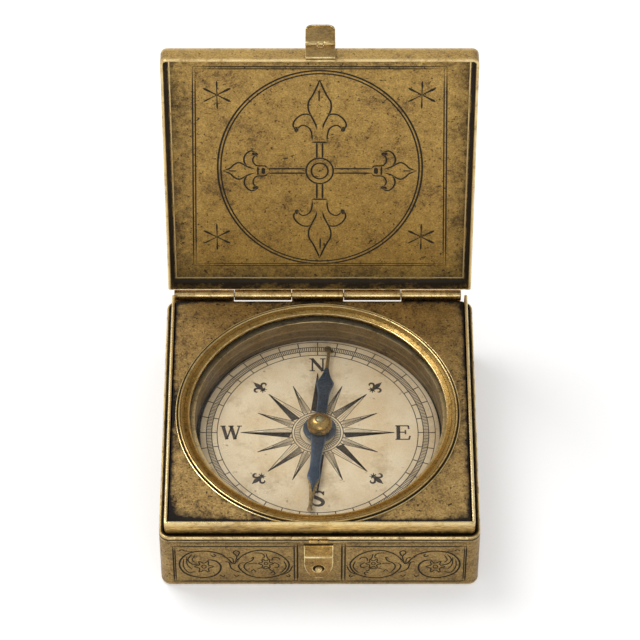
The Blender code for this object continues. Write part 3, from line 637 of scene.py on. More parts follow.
# Painted shade: the rim-darkening values rise towards the card's edge beside the bowl wall.
card_rows = ([(0, CARD_LOW, 0, 0), (CARD_R - 0.1, CARD_LOW, 0, 1), (CARD_R, CARD_LOW + 0.1, 0, 1),
              (CARD_R, CARD_Z - 0.06, 0, 1)]
             + [(r, CARD_Z, 0, soil_and_shade) for r, soil_and_shade in (
                 (28.9, 0.9), (28.6, 0.45), (27.8, 0.25), (26, 0.12), (22, 0), (10, 0), (0, 0))])
piece("dial_card", [turned(card_rows, 180, closed=False)], "case", "card_paper", PAPER, "compass_card")


# ---------------------------------------------------------------- the card's print

INK_LOW, INK_HIGH = CARD_Z - 0.04, CARD_Z + 0.02


def ink_line(path, half, closed=False):
    """A flat line of ink: a thin oblong section carried along the path, half as wide each side as given
    (one value, or one for each point)."""
    path = np.asarray(path, float)
    if closed:
        along = np.roll(path, -1, 0) - np.roll(path, 1, 0)
    else:
        along = np.gradient(path, axis=0)
    side = np.stack([-along[:, 1], along[:, 0]], -1)
    side /= np.maximum(np.linalg.norm(side, axis=1, keepdims=True), 1e-9)
    half = np.broadcast_to(np.asarray(half, float), (len(path),))[:, None]
    left, right = path + side * half, path - side * half
    low, high = np.full(len(path), INK_LOW), np.full(len(path), INK_HIGH)
    points = np.stack([np.column_stack([left, low]), np.column_stack([left, high]),
                       np.column_stack([right, high]), np.column_stack([right, low])], 1)
    return grid(points, close_rows=closed, close_columns=True, first_cap=not closed, last_cap=not closed)


def polar(radius, degrees):
    """A point of the card: degrees clockwise from north."""
    turn = math.radians(degrees)
    return np.array([radius * math.sin(turn), radius * math.cos(turn)])


def placed(strokes, centre, degrees, size=1.0):
    """Strokes drawn about the origin, made bigger, turned clockwise and carried to a centre."""
    turn = math.radians(degrees)
    across, up = np.array([math.cos(turn), -math.sin(turn)]), np.array([math.sin(turn), math.cos(turn)])
    lines = []
    for path, half in strokes:
        path = np.asarray(path, float) * size
        lines.append(ink_line(path[:, :1] * across + path[:, 1:] * up + centre, np.asarray(half) * size))
    return lines


def taper(curve, most, least=0.05):
    """Half widths that swell from least at both ends to most in the middle, as a sine."""
    way = np.sin(np.linspace(0, np.pi, len(curve)))
    return least + (most - least) * way


LETTERS = {
    "N": [([(-1.28, -2), (-1.28, 2)], 0.2), ([(1.28, -2), (1.28, 2)], 0.2), ([(-1.45, 2), (1.3, -2)], 0.4),
          ([(-1.95, -1.9), (-0.6, -1.9)], 0.14), ([(0.6, 1.9), (1.95, 1.9)], 0.14),
          ([(-2.1, 1.9), (-1.1, 1.9)], 0.14)],
    "E": [([(-1.05, -2), (-1.05, 2)], 0.42), ([(-1.7, 1.88), (1.2, 1.88)], 0.15),
          ([(1.12, 1.95), (1.25, 1.0)], 0.19), ([(-1.1, 0.1), (0.5, 0.1)], 0.14),
          ([(0.5, -0.5), (0.5, 0.7)], 0.16), ([(-1.7, -1.88), (1.35, -1.88)], 0.15),
          ([(1.25, -1.95), (1.5, -0.9)], 0.19)],
    "W": [([(-1.95, 2), (-0.95, -2)], 0.4), ([(-0.95, -2), (0.05, 1.9)], 0.18),
          ([(-0.1, 2), (0.95, -2)], 0.4), ([(0.95, -2), (1.9, 2)], 0.18), ([(-2.55, 1.9), (-1.3, 1.9)], 0.14),
          ([(-0.7, 1.9), (0.6, 1.9)], 0.14), ([(1.3, 1.9), (2.45, 1.9)], 0.14)],
    "S": [([(1.15, 0.9), (1.2, 1.95)], 0.17), ([(-1.3, -0.95), (-1.3, -2.0)], 0.17)],
}
S_CURVE = spline([(1.1, 1.2), (0.75, 1.7), (0.0, 1.9), (-0.8, 1.6), (-1.05, 1.0), (-0.75, 0.45), (0, 0.05),
                  (0.75, -0.4), (1.1, -1.0), (0.8, -1.65), (0, -1.9), (-0.8, -1.7), (-1.2, -1.2)], 5)
LETTERS["S"].append((S_CURVE, taper(S_CURVE, 0.46, 0.14)))

FLEUR_PETAL = spline([(0.2, -0.55), (0.35, 0.1), (0.85, 0.55), (1.3, 0.35), (1.35, -0.1), (1.05, -0.3)], 5)
FLEUR_HEART = spline([(0, -0.6), (0, 0.3), (0, 1.1), (0, 2.0)], 5)
FLEUR = [(FLEUR_HEART, 0.05 + 0.42 * np.sin(np.linspace(0, np.pi, len(FLEUR_HEART))) ** 1.4),
         (FLEUR_PETAL, taper(FLEUR_PETAL, 0.22, 0.07)),
         (FLEUR_PETAL * (-1, 1), taper(FLEUR_PETAL, 0.22, 0.07)),
         ([(-0.65, -0.6), (0.65, -0.6)], 0.13), ([(0, -0.6), (0, -1.35)], (0.22, 0.04)),
         ([(0.1, -0.7), (0.6, -1.2)], (0.16, 0.04)), ([(-0.1, -0.7), (-0.6, -1.2)], (0.16, 0.04))]

HUB_R = 6.2
DEGREE_RINGS, EDGE_RING = (24.2, 25.5, 26.8), 28.35


def hatched(tip, inner, outer, lines, wide):
    """Shading of half a star point: fine lines that spread from the tip to the side between two points."""
    marks = []
    for way in np.linspace(0.04, 0.96, lines):
        end = inner + (outer - inner) * way
        marks.append(ink_line([tip + (end - tip) * 0.05, end], (0.045, wide)))
    return marks


def star_point(degrees, tip_radius, base_radius, spread, dark, wide, lines):
    """A slender point: two edges that open to a spread in degrees either side, a middle line, a dark half
    (1 clockwise, -1 the other) of lines that end so wide, and a few short lines in the light half."""
    tip, base = polar(tip_radius, degrees), polar(HUB_R, degrees)
    shaded, light = polar(base_radius, degrees + spread * dark), polar(base_radius, degrees - spread * dark)
    marks = [ink_line([tip, shaded, polar(HUB_R, degrees + spread * dark)], 0.08),
             ink_line([tip, light, polar(HUB_R, degrees - spread * dark)], 0.08), ink_line([tip, base], 0.08)]
    marks += hatched(tip, base, shaded, lines, wide)
    for way in (0.35, 0.68):
        end = base + (light - base) * way
        marks.append(ink_line([tip + (end - tip) * 0.45, end], (0.03, 0.055)))
    return marks


def star():
    """A sixteen-pointed rose: four long points, four middling ones between them and eight short ones."""
    halves = ((-1, 0.13), (-1, 0.07), (1, 0.13), (-1, 0.115), (-1, 0.13), (-1, 0.07), (-1, 0.13), (-1, 0.115))
    marks = []
    for k, (dark, wide) in enumerate(halves):
        tip_radius, spread = ((18.5, 12.5), (16.8, 14.5))[k % 2]
        marks += star_point(45 * k, tip_radius, 7.0, spread, dark, wide, 8)
        marks += star_point(45 * k + 22.5, 15.6, 7.3, 7.5, 1 if k in (1, 2) else -1, 0.07, 4)
    return marks


def circle(radius, half, steps=180):
    """A whole ring of ink."""
    return ink_line(arc(0, 0, radius, 0, 360 - 360 / steps, steps), half, closed=True)


PRINT_SHIFT_X = -0.5


def print_parts():
    """The whole print: the degree ring, the hub ring, the star, four letters and four lilies."""
    lines = [circle(r, 0.1) for r in DEGREE_RINGS] + [circle(EDGE_RING, 0.09), circle(HUB_R, 0.1),
                                                      circle(5.57, 0.085), circle(4.25, 0.07)]
    for degree in range(0, 360, 10):
        lines.append(ink_line([polar(DEGREE_RINGS[0], degree), polar(EDGE_RING, degree)], 0.12))
    for degree in range(360):
        lines.append(ink_line([polar(DEGREE_RINGS[1], degree), polar(DEGREE_RINGS[2], degree)], 0.1))
    for k in range(60):
        lines.append(ink_line([polar(4.25, 6 * k), polar(5.4, 6 * k)], 0.085))
    lines += star()
    for letter, centre, size in (("N", (0, 21.2), 1.0), ("S", (0.1, -20.0), 1.1), ("W", (-20.8, 0), 1.04),
                                 ("E", (20.6, 0), 1.1)):
        lines += placed(LETTERS[letter], np.array(centre), 0, size)
    for k in range(4):
        lines += placed(FLEUR, polar(19.6, 45 + 90 * k), 45 + 90 * k, 1.25)
    return [moved(line, lambda p: p + (PRINT_SHIFT_X, 0, 0)) for line in lines]


piece("card_print", print_parts(), "case", "card_paper", INK)


# ---------------------------------------------------------------- the hinge

def knuckle(left, right, leaf_y, leaf_end, above):
    """One knuckle: a barrel with a leaf that leaves it below (on the case) or above (on the lid)."""
    radius, thick = 1.3, 0.6
    near, far = leaf_y - HINGE_Y, leaf_y + thick - HINGE_Y
    sense = 1 if above else -1
    a_far = math.degrees(math.acos(far / radius))
    a_near = math.degrees(math.acos(near / radius))
    barrel = arc(HINGE_Y, HINGE_Z, radius, sense * a_near, sense * (a_far + 360), 40)
    leaf = np.array([(leaf_y + thick, leaf_end), (leaf_y, leaf_end)])
    outline = np.vstack([barrel, leaf])
    shell = slab(outline, left, right, 0.1)
    return moved(shell, along_x)


SPLITS = (-35.8, -21.0, -6.9, 5.9, 20.0, 34.8)
GAP = 0.06
case_knuckles = [knuckle(SPLITS[k] + GAP, SPLITS[k + 1] - GAP, 36.6, 11.0, False) for k in (0, 2, 4)]
lid_knuckles = [moved(knuckle(SPLITS[k] + GAP, SPLITS[k + 1] - GAP, 36.2, 23.6, True), open_lid)
                for k in (1, 3)]
shelf = moved(slab([(37.1, 17.7), (40.4, 17.7), (40.4, 20.62), (39.9, 20.62), (39.9, 18.3), (37.1, 18.3)],
                   SPLITS[2] + GAP, SPLITS[3] - GAP, 0.08), along_x)
for name, parts in (("left", [case_knuckles[0]]), ("middle", [case_knuckles[1], shelf]),
                    ("right", [case_knuckles[2]])):
    piece("hinge_case_" + name, parts, "case", "hinge_brass", HINGE_BRASS, "case_knuckle_" + name)
for name, part in (("left", lid_knuckles[0]), ("right", lid_knuckles[1])):
    piece("hinge_lid_" + name, [part], "lid", "hinge_brass", HINGE_BRASS, "lid_knuckle_" + name)


# ---------------------------------------------------------------- the lid

def lid_lift(z, ring):
    """Heights of the lid's lower rim: level, then rising round a quarter circle behind so that the
    back wall clears the hinge. Rows above keep their share of what height is left."""
    low, top, cut_y, cut_r, cut_z = 18.95, 23.3, 33.35, 2.3, 21.35
    past = np.clip(ring[:, 1] - cut_y, 0, cut_r)
    rim = np.where(ring[:, 1] > cut_y, cut_z - np.sqrt(cut_r ** 2 - past ** 2), low)
    if z >= top:
        return np.full(len(ring), z)
    return rim + (z - low) * (top - rim) / (top - low)


LID_CORNER_R = 0.8
lid_corner = arc(LID_CORNER_R, 23.3, LID_CORNER_R, 90, 180, 6)
# Painted light: the bright line at inset 1.76 and the bright lower rim are painted highlights on worn brass;
# the dark inner wall, fillet and floor by the walls are painted shade.
lid_rows = ([(9, LID_BACK_Z, 0, 0.05), (2.5, LID_BACK_Z, 0.05, 0)] + [(x, z, 0.55, 0) for x, z in lid_corner]
            + [(0, 22.5, 0.1, 0.1), (0, 20.6, 0.05, 0.1), (0, 19.7, 0.1, 0.05), (0, 19.18, 0.6, 0),
               (0.06, 19.02, 1, 0), (0.2, 18.96, 1, 0), (0.33, 18.95, 1, 0), (0.46, 18.96, 1, 0),
               (0.59, 19.02, 1, 0), (0.65, 19.2, 0.4, 0.2), (0.65, 19.8, 0, 0.6), (0.65, 21.5, 0, 0.7),
               (0.65, 22.3, 0, 0.8), (0.73, 22.72, 0, 0.9), (0.97, 23.06, 0, 0.95), (1.3, 23.29, 0, 0.9),
               (1.62, 23.36, 0.1, 0.4), (1.76, 23.34, 1, 0), (1.9, 23.37, 0.9, 0)]
            + [(inset, LID_FLOOR_Z, 0, soil_and_shade) for inset, soil_and_shade in (
                (2.02, 0.5), (2.6, 0.36), (3.6, 0.3), (5, 0.26), (6, 0.2), (6.8, 0.05), (9, 0))])
piece("lid_tray", [moved(walled(lid_rows, 37.1, 35.95, 1.5, lid_lift), open_lid)],
      "lid", "case_brass", LID_BRASS, "lid_shell")


# ---------------------------------------------------------------- engraving

CUT_SIDE = np.array([-1, -1, -0.88, -0.72, 0, 0.72, 0.88, 1, 1])
CUT_RISE = np.array([-0.06, 0.004, 0.035, 0.014, 0.009, 0.014, 0.035, 0.004, -0.06])
# The burrs beside each cut are lightened as a painted highlight; the furrow's dark is patina in the cut.
CUT_BURR_HIGHLIGHT = np.array([0, 0.1, 0.35, 0, 0, 0, 0.35, 0.1, 0])
CUT_GRIME = np.array([0, 0, 0.35, 1, 1, 1, 0.35, 0, 0])
CUT_BOLD = 1.4


def cut_line(path, half=0.17, closed=False, swell=None):
    """A graver's line on a flat face, as (across, up, out): an M-shaped section, two low burrs either
    side of a dark furrow, carried along the path and drawn fine at both ends."""
    path = np.asarray(path, float)
    along = np.roll(path, -1, 0) - np.roll(path, 1, 0) if closed else np.gradient(path, axis=0)
    side = np.stack([-along[:, 1], along[:, 0]], -1)
    side /= np.maximum(np.linalg.norm(side, axis=1, keepdims=True), 1e-9)
    way = np.linspace(0, 1, len(path))
    if swell is None:
        swell = np.ones(len(path)) if closed else np.clip(np.minimum(way, 1 - way) * 9, 0.25, 1)
    width = (CUT_BOLD * half * swell)[:, None, None]
    flat = path[:, None] + side[:, None] * CUT_SIDE[None, :, None] * width
    points = np.dstack([flat, np.repeat(CUT_RISE[None], len(path), 0)])
    return grid(points, CUT_BURR_HIGHLIGHT[None], CUT_GRIME[None], close_rows=closed, close_columns=True,
                first_cap=not closed, last_cap=not closed)


def straight(a, b, steps=12):
    """Evenly spaced points of a straight line."""
    way = np.linspace(0, 1, steps)[:, None]
    return np.asarray(a, float) * (1 - way) + np.asarray(b, float) * way


def on_lid(points):
    """From (across, up, out) on the inside of the standing lid to its place: up is towards the free end."""
    return open_lid(np.column_stack([points[:, 0], -points[:, 1], LID_FLOOR_Z - points[:, 2]]))


def on_front(points):
    """From (across, up, out) on the front of the case to its place."""
    return np.column_stack([points[:, 0], FRONT_Y - points[:, 2], points[:, 1]])


def spoked(path, direction):
    """Turns strokes drawn pointing up to another of the four arms: 0 up, 1 right, 2 down, 3 left."""
    x, y = np.asarray(path, float).T
    return np.column_stack([(x, y), (y, -x), (-x, -y), (-y, x)][direction])


MEDAL_V = -0.5
TALL_ARM = {"petal": [(0.0, 27.4), (0.55, 25.6), (1.6, 22.9), (2.6, 20.8), (2.65, 18.6), (1.9, 16.4),
                      (1.0, 14.2), (0.7, 12.5)],
            "curl": [(1.55, 16.1), (2.6, 17.1), (4.2, 17.0), (5.7, 15.6), (6.3, 13.8), (5.4, 11.9)],
            "inner": [(5.4, 12.0), (5.0, 13.1), (4.2, 13.8), (3.2, 13.6), (2.3, 12.7), (1.85, 11.0),
                      (1.78, 8.9)],
            "collar": [(-1.85, 8.75), (1.85, 8.75)], "vein": [(-0.12, 24.4), (-0.12, 20.9)],
            "shaft": (8.7, 3.55)}
WIDE_ARM = {"petal": [(0.0, 23.3), (0.75, 21.6), (1.95, 20.5), (2.55, 19.4), (2.1, 18.4), (1.2, 17.1),
                      (0.55, 15.4)],
            "curl": [(1.3, 17.2), (2.3, 17.9), (3.8, 18.1), (5.3, 17.5), (6.1, 16.4), (5.6, 15.3),
                     (5.0, 14.7)],
            "inner": [(5.0, 14.7), (4.5, 15.6), (3.4, 16.0), (2.3, 15.7), (1.6, 14.9), (1.5, 13.2),
                      (0.8, 12.4)],
            "collar": [(-1.3, 14.8), (1.3, 14.8)], "vein": [(0, 21.8), (0, 19.9)], "shaft": (12.6, 3.1),
            "block": [(-0.95, 13.5), (0.95, 13.5)]}


def flowered_arm(arm, direction):
    """One arm of the lid's cross: a double shaft, a collar, two curling side leaves and a pointed leaf."""
    lines = []
    for sign in (1, -1):
        for part in ("petal", "curl", "inner"):
            lines.append((spline(np.array(arm[part]) * (sign, 1), 7), 0.19 if part != "inner" else 0.17))
        top, bottom = arm["shaft"]
        lines.append((straight((0.68 * sign, top), (0.68 * sign, bottom)), 0.2))
        tip = np.array(arm["curl"][-1]) * (sign, 1)
        lines.append((straight(tip + (0.35 * sign, 1.5), tip, 6), 0.42))
    lines += [(straight(*arm["collar"]), 0.19), (straight(*arm["vein"], 8), 0.16)]
    if "block" in arm:
        lines.append((straight(*arm["block"]), 0.42))
    return [(spoked(path, direction) + (0, MEDAL_V), half) for path, half in lines]


def oval(a, b, steps=220):
    """A closed ellipse: a times the cosine and b times the sine of the turn."""
    turn = np.linspace(0, 2 * np.pi, steps, endpoint=False)
    return np.stack([a * np.cos(turn), b * np.sin(turn)], -1)


def chisel_star(centre):
    """A six-armed star struck with a wedge: each arm swells from the middle to its outer end."""
    strokes = []
    for degrees, reach in ((90, 4.1), (270, 4.1), (32, 3.8), (148, 3.8), (212, 3.8), (328, 3.8)):
        turn = math.radians(degrees)
        end = np.array([math.cos(turn) * reach, math.sin(turn) * reach])
        path = straight((0, 0), end, 9) + centre
        swell = np.array([0.5, 0.5, 0.5, 0.55, 0.65, 0.85, 1.0, 0.9, 0.3])
        strokes.append(cut_line(path, 0.29 if degrees in (148, 32, 328) else 0.19, swell=swell))
    return strokes


def lid_engraving():
    """The inside of the lid: the ringed medallion with its cross, a double border and four stars."""
    lines = [cut_line(oval(24.5, 29.6) + (0.08, -0.05), 0.2, closed=True),
             cut_line(oval(23.75, 28.7) + (0.08, -0.05), 0.17, closed=True),
             cut_line(oval(3.25, 3.9, 60) + (0, MEDAL_V), 0.19, closed=True),
             cut_line(oval(2.0, 2.4, 48) + (0, MEDAL_V), 0.19, closed=True),
             cut_line(oval(0.12, 0.14, 10) + (0, MEDAL_V), 0.1, closed=True)]
    for direction, arm in ((0, TALL_ARM), (2, TALL_ARM), (1, WIDE_ARM), (3, WIDE_ARM)):
        lines += [cut_line(path, half) for path, half in flowered_arm(arm, direction)]
    for inset, half in ((0.0, 0.15), (0.62, 0.13)):
        top, low = 30.7 - inset, -30.2 + inset
        lines += [cut_line(straight((-29.8 + inset, top), (29.8 - inset, top), 40), half),
                  cut_line(straight((-30.9 + inset, low), (30.9 - inset, low), 40), half * 0.8),
                  cut_line(straight((-29.8 + inset, top), (-30.9 + inset, low), 40), half),
                  cut_line(straight((29.8 - inset, top), (30.9 - inset, low), 40), half)]
    lines.append(cut_line(straight((-31.5, 32.6), (31.5, 32.6), 40), 0.13))
    for centre in ((-24.2, 22.4), (24.1, 22.4), (-25.0, -21.1), (24.7, -21.1)):
        lines += chisel_star(np.array(centre))
    return [moved(line, on_lid) for line in lines]


def on_lid_back(points):
    """From (across, up, out) on the outside of the lid to its place: up is towards the free end."""
    return open_lid(np.column_stack([points[:, 0], -points[:, 1], LID_BACK_Z + points[:, 2]]))


outside = [moved(cut_line(rectangle(-x, -y, x, y, 0.6, 4), half, closed=True), on_lid_back)
           for x, y, half in ((33.6, 32.5, 0.15), (32.9, 31.8, 0.11))]
piece("lid_engraving", lid_engraving() + outside, "lid", "case_brass", LID_BRASS)

SCROLL = [
    # the outer volute, its rolled end, and the leaf inside it
    ([(-20.6, 8.2), (-22.2, 11.6), (-24.8, 13.2), (-27.6, 13.6), (-30.6, 12.8), (-32.5, 10.4), (-32.9, 7.8),
      (-31.9, 5.2), (-29.8, 3.7), (-27.2, 3.2), (-24.9, 3.9), (-23.5, 5.8), (-23.3, 8.0), (-24.4, 9.7),
      (-26.0, 10.1), (-26.7, 9.0)], 0.2),
    ([(-31.9, 10.6), (-32.0, 7.6), (-30.9, 5.3), (-29.2, 5.6)], 0.13),
    ([(-31.2, 11.4), (-31.1, 8.4), (-30.0, 6.4)], 0.12),
    ([(-29.9, 12.4), (-30.9, 10.2), (-29.9, 8.5), (-28.4, 8.5)], 0.15),
    ([(-29.2, 12.0), (-29.9, 10.2), (-29.2, 9.1)], 0.11),
    ([(-32.9, 13.6), (-32.2, 14.1), (-31.5, 13.6)], 0.13), ([(-31.5, 13.6), (-29.6, 13.5)], 0.1),
    ([(-25.5, 12.0), (-24.8, 11.4), (-24.4, 12.0), (-24.9, 12.4)], 0.13),
    # the stem and its tuft
    ([(-22.8, 11.6), (-21.6, 10.7), (-20.2, 8.6), (-19.3, 10.2), (-17.7, 12.4)], 0.16),
    ([(-20.2, 8.6), (-20.4, 10.6), (-21.4, 11.2)], 0.12),
    ([(-20.0, 9.2), (-19.4, 11.4), (-20.2, 13.0), (-19.6, 13.8), (-18.8, 13.2), (-19.0, 12.2),
      (-19.5, 11.2)], 0.15),
    ([(-22.3, 9.5), (-21.3, 9.1), (-20.6, 6.6), (-18.4, 5.0)], 0.15),
    ([(-20.3, 4.4), (-19.6, 3.6), (-19.0, 4.3)], 0.12), ([(-23.5, 4.3), (-22.7, 3.5), (-22.3, 4.2)], 0.12),
    # the inner volute with a doubled back and two leaves
    ([(-19.4, 9.0), (-18.3, 11.6), (-15.8, 13.5), (-12.8, 13.9), (-9.7, 12.5), (-7.6, 9.9), (-7.2, 7.6),
      (-8.3, 5.1), (-10.8, 3.5), (-14.0, 3.1), (-16.9, 4.2), (-18.8, 6.7), (-18.9, 8.4), (-17.6, 9.2)], 0.18),
    ([(-15.8, 12.9), (-13.6, 12.7), (-12.9, 11.4), (-13.6, 10.7)], 0.12),
    ([(-8.4, 9.7), (-7.9, 7.4), (-9.2, 4.9)], 0.14), ([(-6.3, 8.0), (-7.3, 5.4), (-9.6, 3.9)], 0.14),
    ([(-16.4, 4.9), (-17.7, 7.0), (-17.4, 8.7), (-15.9, 9.9), (-15.5, 11.2), (-16.2, 10.6)], 0.15),
    ([(-16.9, 8.6), (-15.3, 8.9), (-14.6, 8.6)], 0.12), ([(-16.2, 5.6), (-15.5, 6.3), (-15.0, 5.4)], 0.12),
    ([(-14.9, 6.4), (-13.7, 7.0), (-12.8, 6.6), (-12.0, 6.8), (-11.3, 5.9), (-10.7, 6.3)], 0.13),
    ([(-11.2, 9.6), (-11.0, 10.9), (-9.7, 11.0), (-9.4, 10.2)], 0.13),
    ([(-10.7, 9.2), (-9.6, 8.2), (-9.9, 7.2), (-10.8, 7.3)], 0.13),
    ([(-11.6, 4.9), (-10.9, 5.5), (-10.5, 4.7), (-11.1, 4.2)], 0.13),
    ([(-12.5, 12.6), (-12.3, 11.2), (-11.8, 10.2)], 0.12),
    ([(-7.9, 4.0), (-7.3, 3.4), (-7.0, 4.0), (-7.5, 4.4)], 0.12),
]


def flower(centre, size):
    """A six-petalled flower: its outline swings between two radii six times round, with a round eye."""
    turn = np.linspace(0, 2 * np.pi, 60, endpoint=False)
    radius = size * (0.76 + 0.22 * np.cos(6 * turn) + 0.07 * np.cos(12 * turn))
    outline = np.stack([radius * np.cos(turn), 1.1 * radius * np.sin(turn)], -1)
    return [cut_line(outline + centre, 0.12, closed=True),
            cut_line(oval(0.26 * size, 0.3 * size, 16) + centre, 0.1, closed=True)]


def panel(sign):
    """Half of the front: a panel's border, its two volutes and their flowers, mirrored by the sign."""
    lines = [cut_line(spline(path, 6) * (sign, 1), half) for path, half in SCROLL]
    lines += flower(np.array([-27.2 * sign, 7.5]), 2.1) + flower(np.array([-12.6 * sign, 8.7]), 1.7)
    for a, b, half in (((-34.3, 1.7), (-34.3, 15.5), 0.16), ((-33.85, 1.9), (-33.85, 15.3), 0.12),
                       ((-34.4, 1.8), (-5.2, 1.8), 0.2), ((-5.95, 1.8), (-5.95, 16.6), 0.15),
                       ((-5.2, 1.8), (-5.2, 16.6), 0.17), ((-34.3, 15.4), (-5.2, 15.4), 0.2),
                       ((-35.2, 16.85), (-4.6, 16.85), 0.14)):
        lines.append(cut_line(straight(a, b, 24) * (sign, 1), half))
    return lines


front_lines = [moved(line, on_front) for line in panel(1) + panel(-1)]
front_lines.append(moved(cut_line(straight((-5.2, 1.8), (5.2, 1.8), 12), 0.16), on_front))
piece("front_engraving", front_lines, "case", "case_brass", CASE_BRASS)


# ---------------------------------------------------------------- the hasp and the catch

def in_hasp(points):
    """From the hasp's own latched place about its pin to where it lies folded back on the open lid."""
    return open_lid(np.column_stack([points[:, 0] + HASP_X, HASP_Y - points[:, 1], HASP_Z - points[:, 2]]))


def barrel(left, right, radius=0.6):
    """A short round barrel about the line y = z = 0, from left to right along x."""
    return moved(slab(arc(0, 0, radius, 0, 345, 24), left, right, 0.08), along_x)


HASP_HALF, HASP_LONG, HASP_ROUND = 3.5, 7.5, 1.7
NECK_HALF, NOTCH_HALF, NOTCH_DEPTH = 0.68, 0.76, -0.74
mount = moved(slab(rectangle(-HASP_HALF, 18.95, HASP_HALF, 23.33, 0.2), -36.8, -36.22, 0.14, edge_wear_and_highlight=1),
              lambda p: upright(p) + (HASP_X, 0, 0))
neck = moved(slab(rectangle(-NECK_HALF, 22.5, NECK_HALF, HASP_Z, 0.2), -37.02, -36.7, 0.06),
             lambda p: upright(p) + (HASP_X, 0, 0))
neck_eye = moved(barrel(-NECK_HALF, NECK_HALF), lambda p: p + (HASP_X, HASP_Y, HASP_Z))
piece("hasp_mount", [moved(part, open_lid) for part in (mount, neck, neck_eye)], "lid", "case_brass",
      HASP_BRASS, "hasp_plate")


def leaf_end(inset):
    """The leaf's far end, drawn in by an inset: down one side, round two corners and up the other."""
    radius, low = HASP_ROUND - inset, HASP_ROUND - HASP_LONG
    return np.vstack([arc(HASP_ROUND - HASP_HALF, low, radius, 180, 270, 10),
                      arc(HASP_HALF - HASP_ROUND, low, radius, 270, 360, 10)])


leaf_outline = np.vstack([[(NOTCH_HALF, -0.3), (NOTCH_HALF, NOTCH_DEPTH), (-NOTCH_HALF, NOTCH_DEPTH),
                           (-NOTCH_HALF, -0.3), (-HASP_HALF, -0.3)],
                          leaf_end(0), [(HASP_HALF, -0.3)]])
leaf = moved(slab(leaf_outline, -0.75, -0.15, 0.13, edge_wear_and_highlight=1), upright)
lip = moved(slab(np.vstack([leaf_end(0.12), leaf_end(0.5)[::-1]]), -0.5, 0.1, 0.1, edge_wear_and_highlight=1), upright)
eyes = [barrel(-HASP_HALF, -NOTCH_HALF), barrel(NOTCH_HALF, HASP_HALF)]
piece("hasp_flap", [moved(part, in_hasp) for part in [leaf, lip] + eyes], "hasp", "case_brass", HASP_BRASS,
      "hasp_leaf")


EYE_Z, EYE_R = 7.9, 1.32
TONGUE_LOW, TONGUE_ROUND = 4.0, 10.3
TONGUE_BACK_Y = -36.6


def catch_tongue():
    """The catch: across it the face is a flattened arch, depth times (1 - |s|^9)^(1/9); its depth swells
    to a ridge and steps back below it, its width follows an ellipse to a round end, and a round hole
    is sunk where the depth drops inside the eye's radius."""
    z = np.concatenate([np.linspace(16.2, 16.0, 4), np.linspace(15.8, 13.2, 12), np.linspace(13.1, 12.3, 12),
                        np.linspace(12.1, TONGUE_ROUND, 10),
                        TONGUE_ROUND - 6.3 * np.sin(np.linspace(0, np.pi / 2, 64))[1:]])
    width = 3.47 * np.sqrt(np.clip(1 - (np.clip(TONGUE_ROUND - z, 0, 6.3) / 6.3) ** 2, 0, 1))
    depth = np.interp(z, [TONGUE_LOW, 12.35, 12.62, 12.85, 13.1, 16.0, 16.2],
                      [0.7, 0.72, 1.15, 1.3, 1.24, 0.42, 0.2])
    depth = depth * np.clip(np.sqrt(np.clip((z - TONGUE_LOW) / 0.25, 0.0, 1)), 0.05, 1)
    columns = 81
    s = np.sin(np.linspace(-np.pi / 2, np.pi / 2, columns))
    face = (1 - np.abs(s) ** 9) ** (1 / 9)
    across = width[:, None] * s[None]
    from_eye = np.hypot(across, z[:, None] - EYE_Z)
    solid = np.clip((from_eye - EYE_R + 0.06) / 0.12, 0, 1)
    out = 0.06 + (depth[:, None] * face[None] - 0.06) * solid
    x = CATCH_X + across
    front = np.stack([x, TONGUE_BACK_Y - out, np.repeat(z[:, None], columns, 1)], -1)
    back = np.stack([x[:, ::-1], np.full(x.shape, TONGUE_BACK_Y), np.repeat(z[:, None], columns, 1)], -1)
    points = np.concatenate([front, back[:, 1:-1]], 1)
    # Bright mask: the sides and round end are brightened as worn brass and painted highlight; the ridge band
    # and the ring round the eye are painted highlights.
    edge = np.clip((np.abs(s) - 0.9) * 14, 0, 1)[None]
    end = np.clip((4.6 - z) * 2.5, 0, 1)[:, None]
    ridge = np.exp(-((z - 12.9) / 0.38) ** 2)[:, None]
    lip = np.exp(-((from_eye - EYE_R - 0.14) / 0.09) ** 2)
    hidden = np.zeros((len(z), columns - 2))
    wear_and_highlight = np.hstack([np.clip(edge + end + ridge + lip, 0, 1), hidden])
    # Dark mask: the sunk eye is filled dark and a band under the ridge is darkened, both painted shade.
    crease = 0.75 * np.exp(-((z - 12.2) / 0.14) ** 2)[:, None]
    grime_and_shade = np.hstack([1 - solid + crease * (solid > 0.5), hidden])
    return grid(points, wear_and_highlight, np.clip(grime_and_shade, 0, 1), close_columns=True, first_cap=True, last_cap=True)


def facing_front(points):
    """From a shape turned about z to one turned about the line that points out of the front."""
    return np.column_stack([points[:, 0], -points[:, 2], points[:, 1]])


piece("catch_tongue", [catch_tongue()], "case", "ring_brass", HASP_BRASS, "catch_plate")
ball = arc(0, 37.32, 0.9, -60, 90, 12)
# The ball's brightness is a painted highlight on worn brass; its foot is darkened as painted shade.
stud_rows = ([(0, 36.62, 0, 0), (0.5, 36.62, 0, 1)] + [(x, y, 0.7, 0) for x, y in ball[:-1]]
             + [(0, 38.22, 0.9, 0)])
stud = moved(turned(stud_rows, 32, closed=False), facing_front)
piece("catch_knob", [moved(stud, lambda p: p + (CATCH_X, 0, EYE_Z))], "case", "ring_brass", RING_BRASS,
      "catch_stud")
bars = [moved(slab(rectangle(a, 17.3, b, 18.0, 0.15, 4), -36.95, -36.37, 0.12),
              lambda p: upright(p) + (CATCH_X, 0, 0))
        for a, b in ((-2.3, -0.12), (0.12, 2.3))]
piece("catch_rail", bars, "case", "ring_brass", RING_BRASS, "catch_bar")


# ---------------------------------------------------------------- the needle

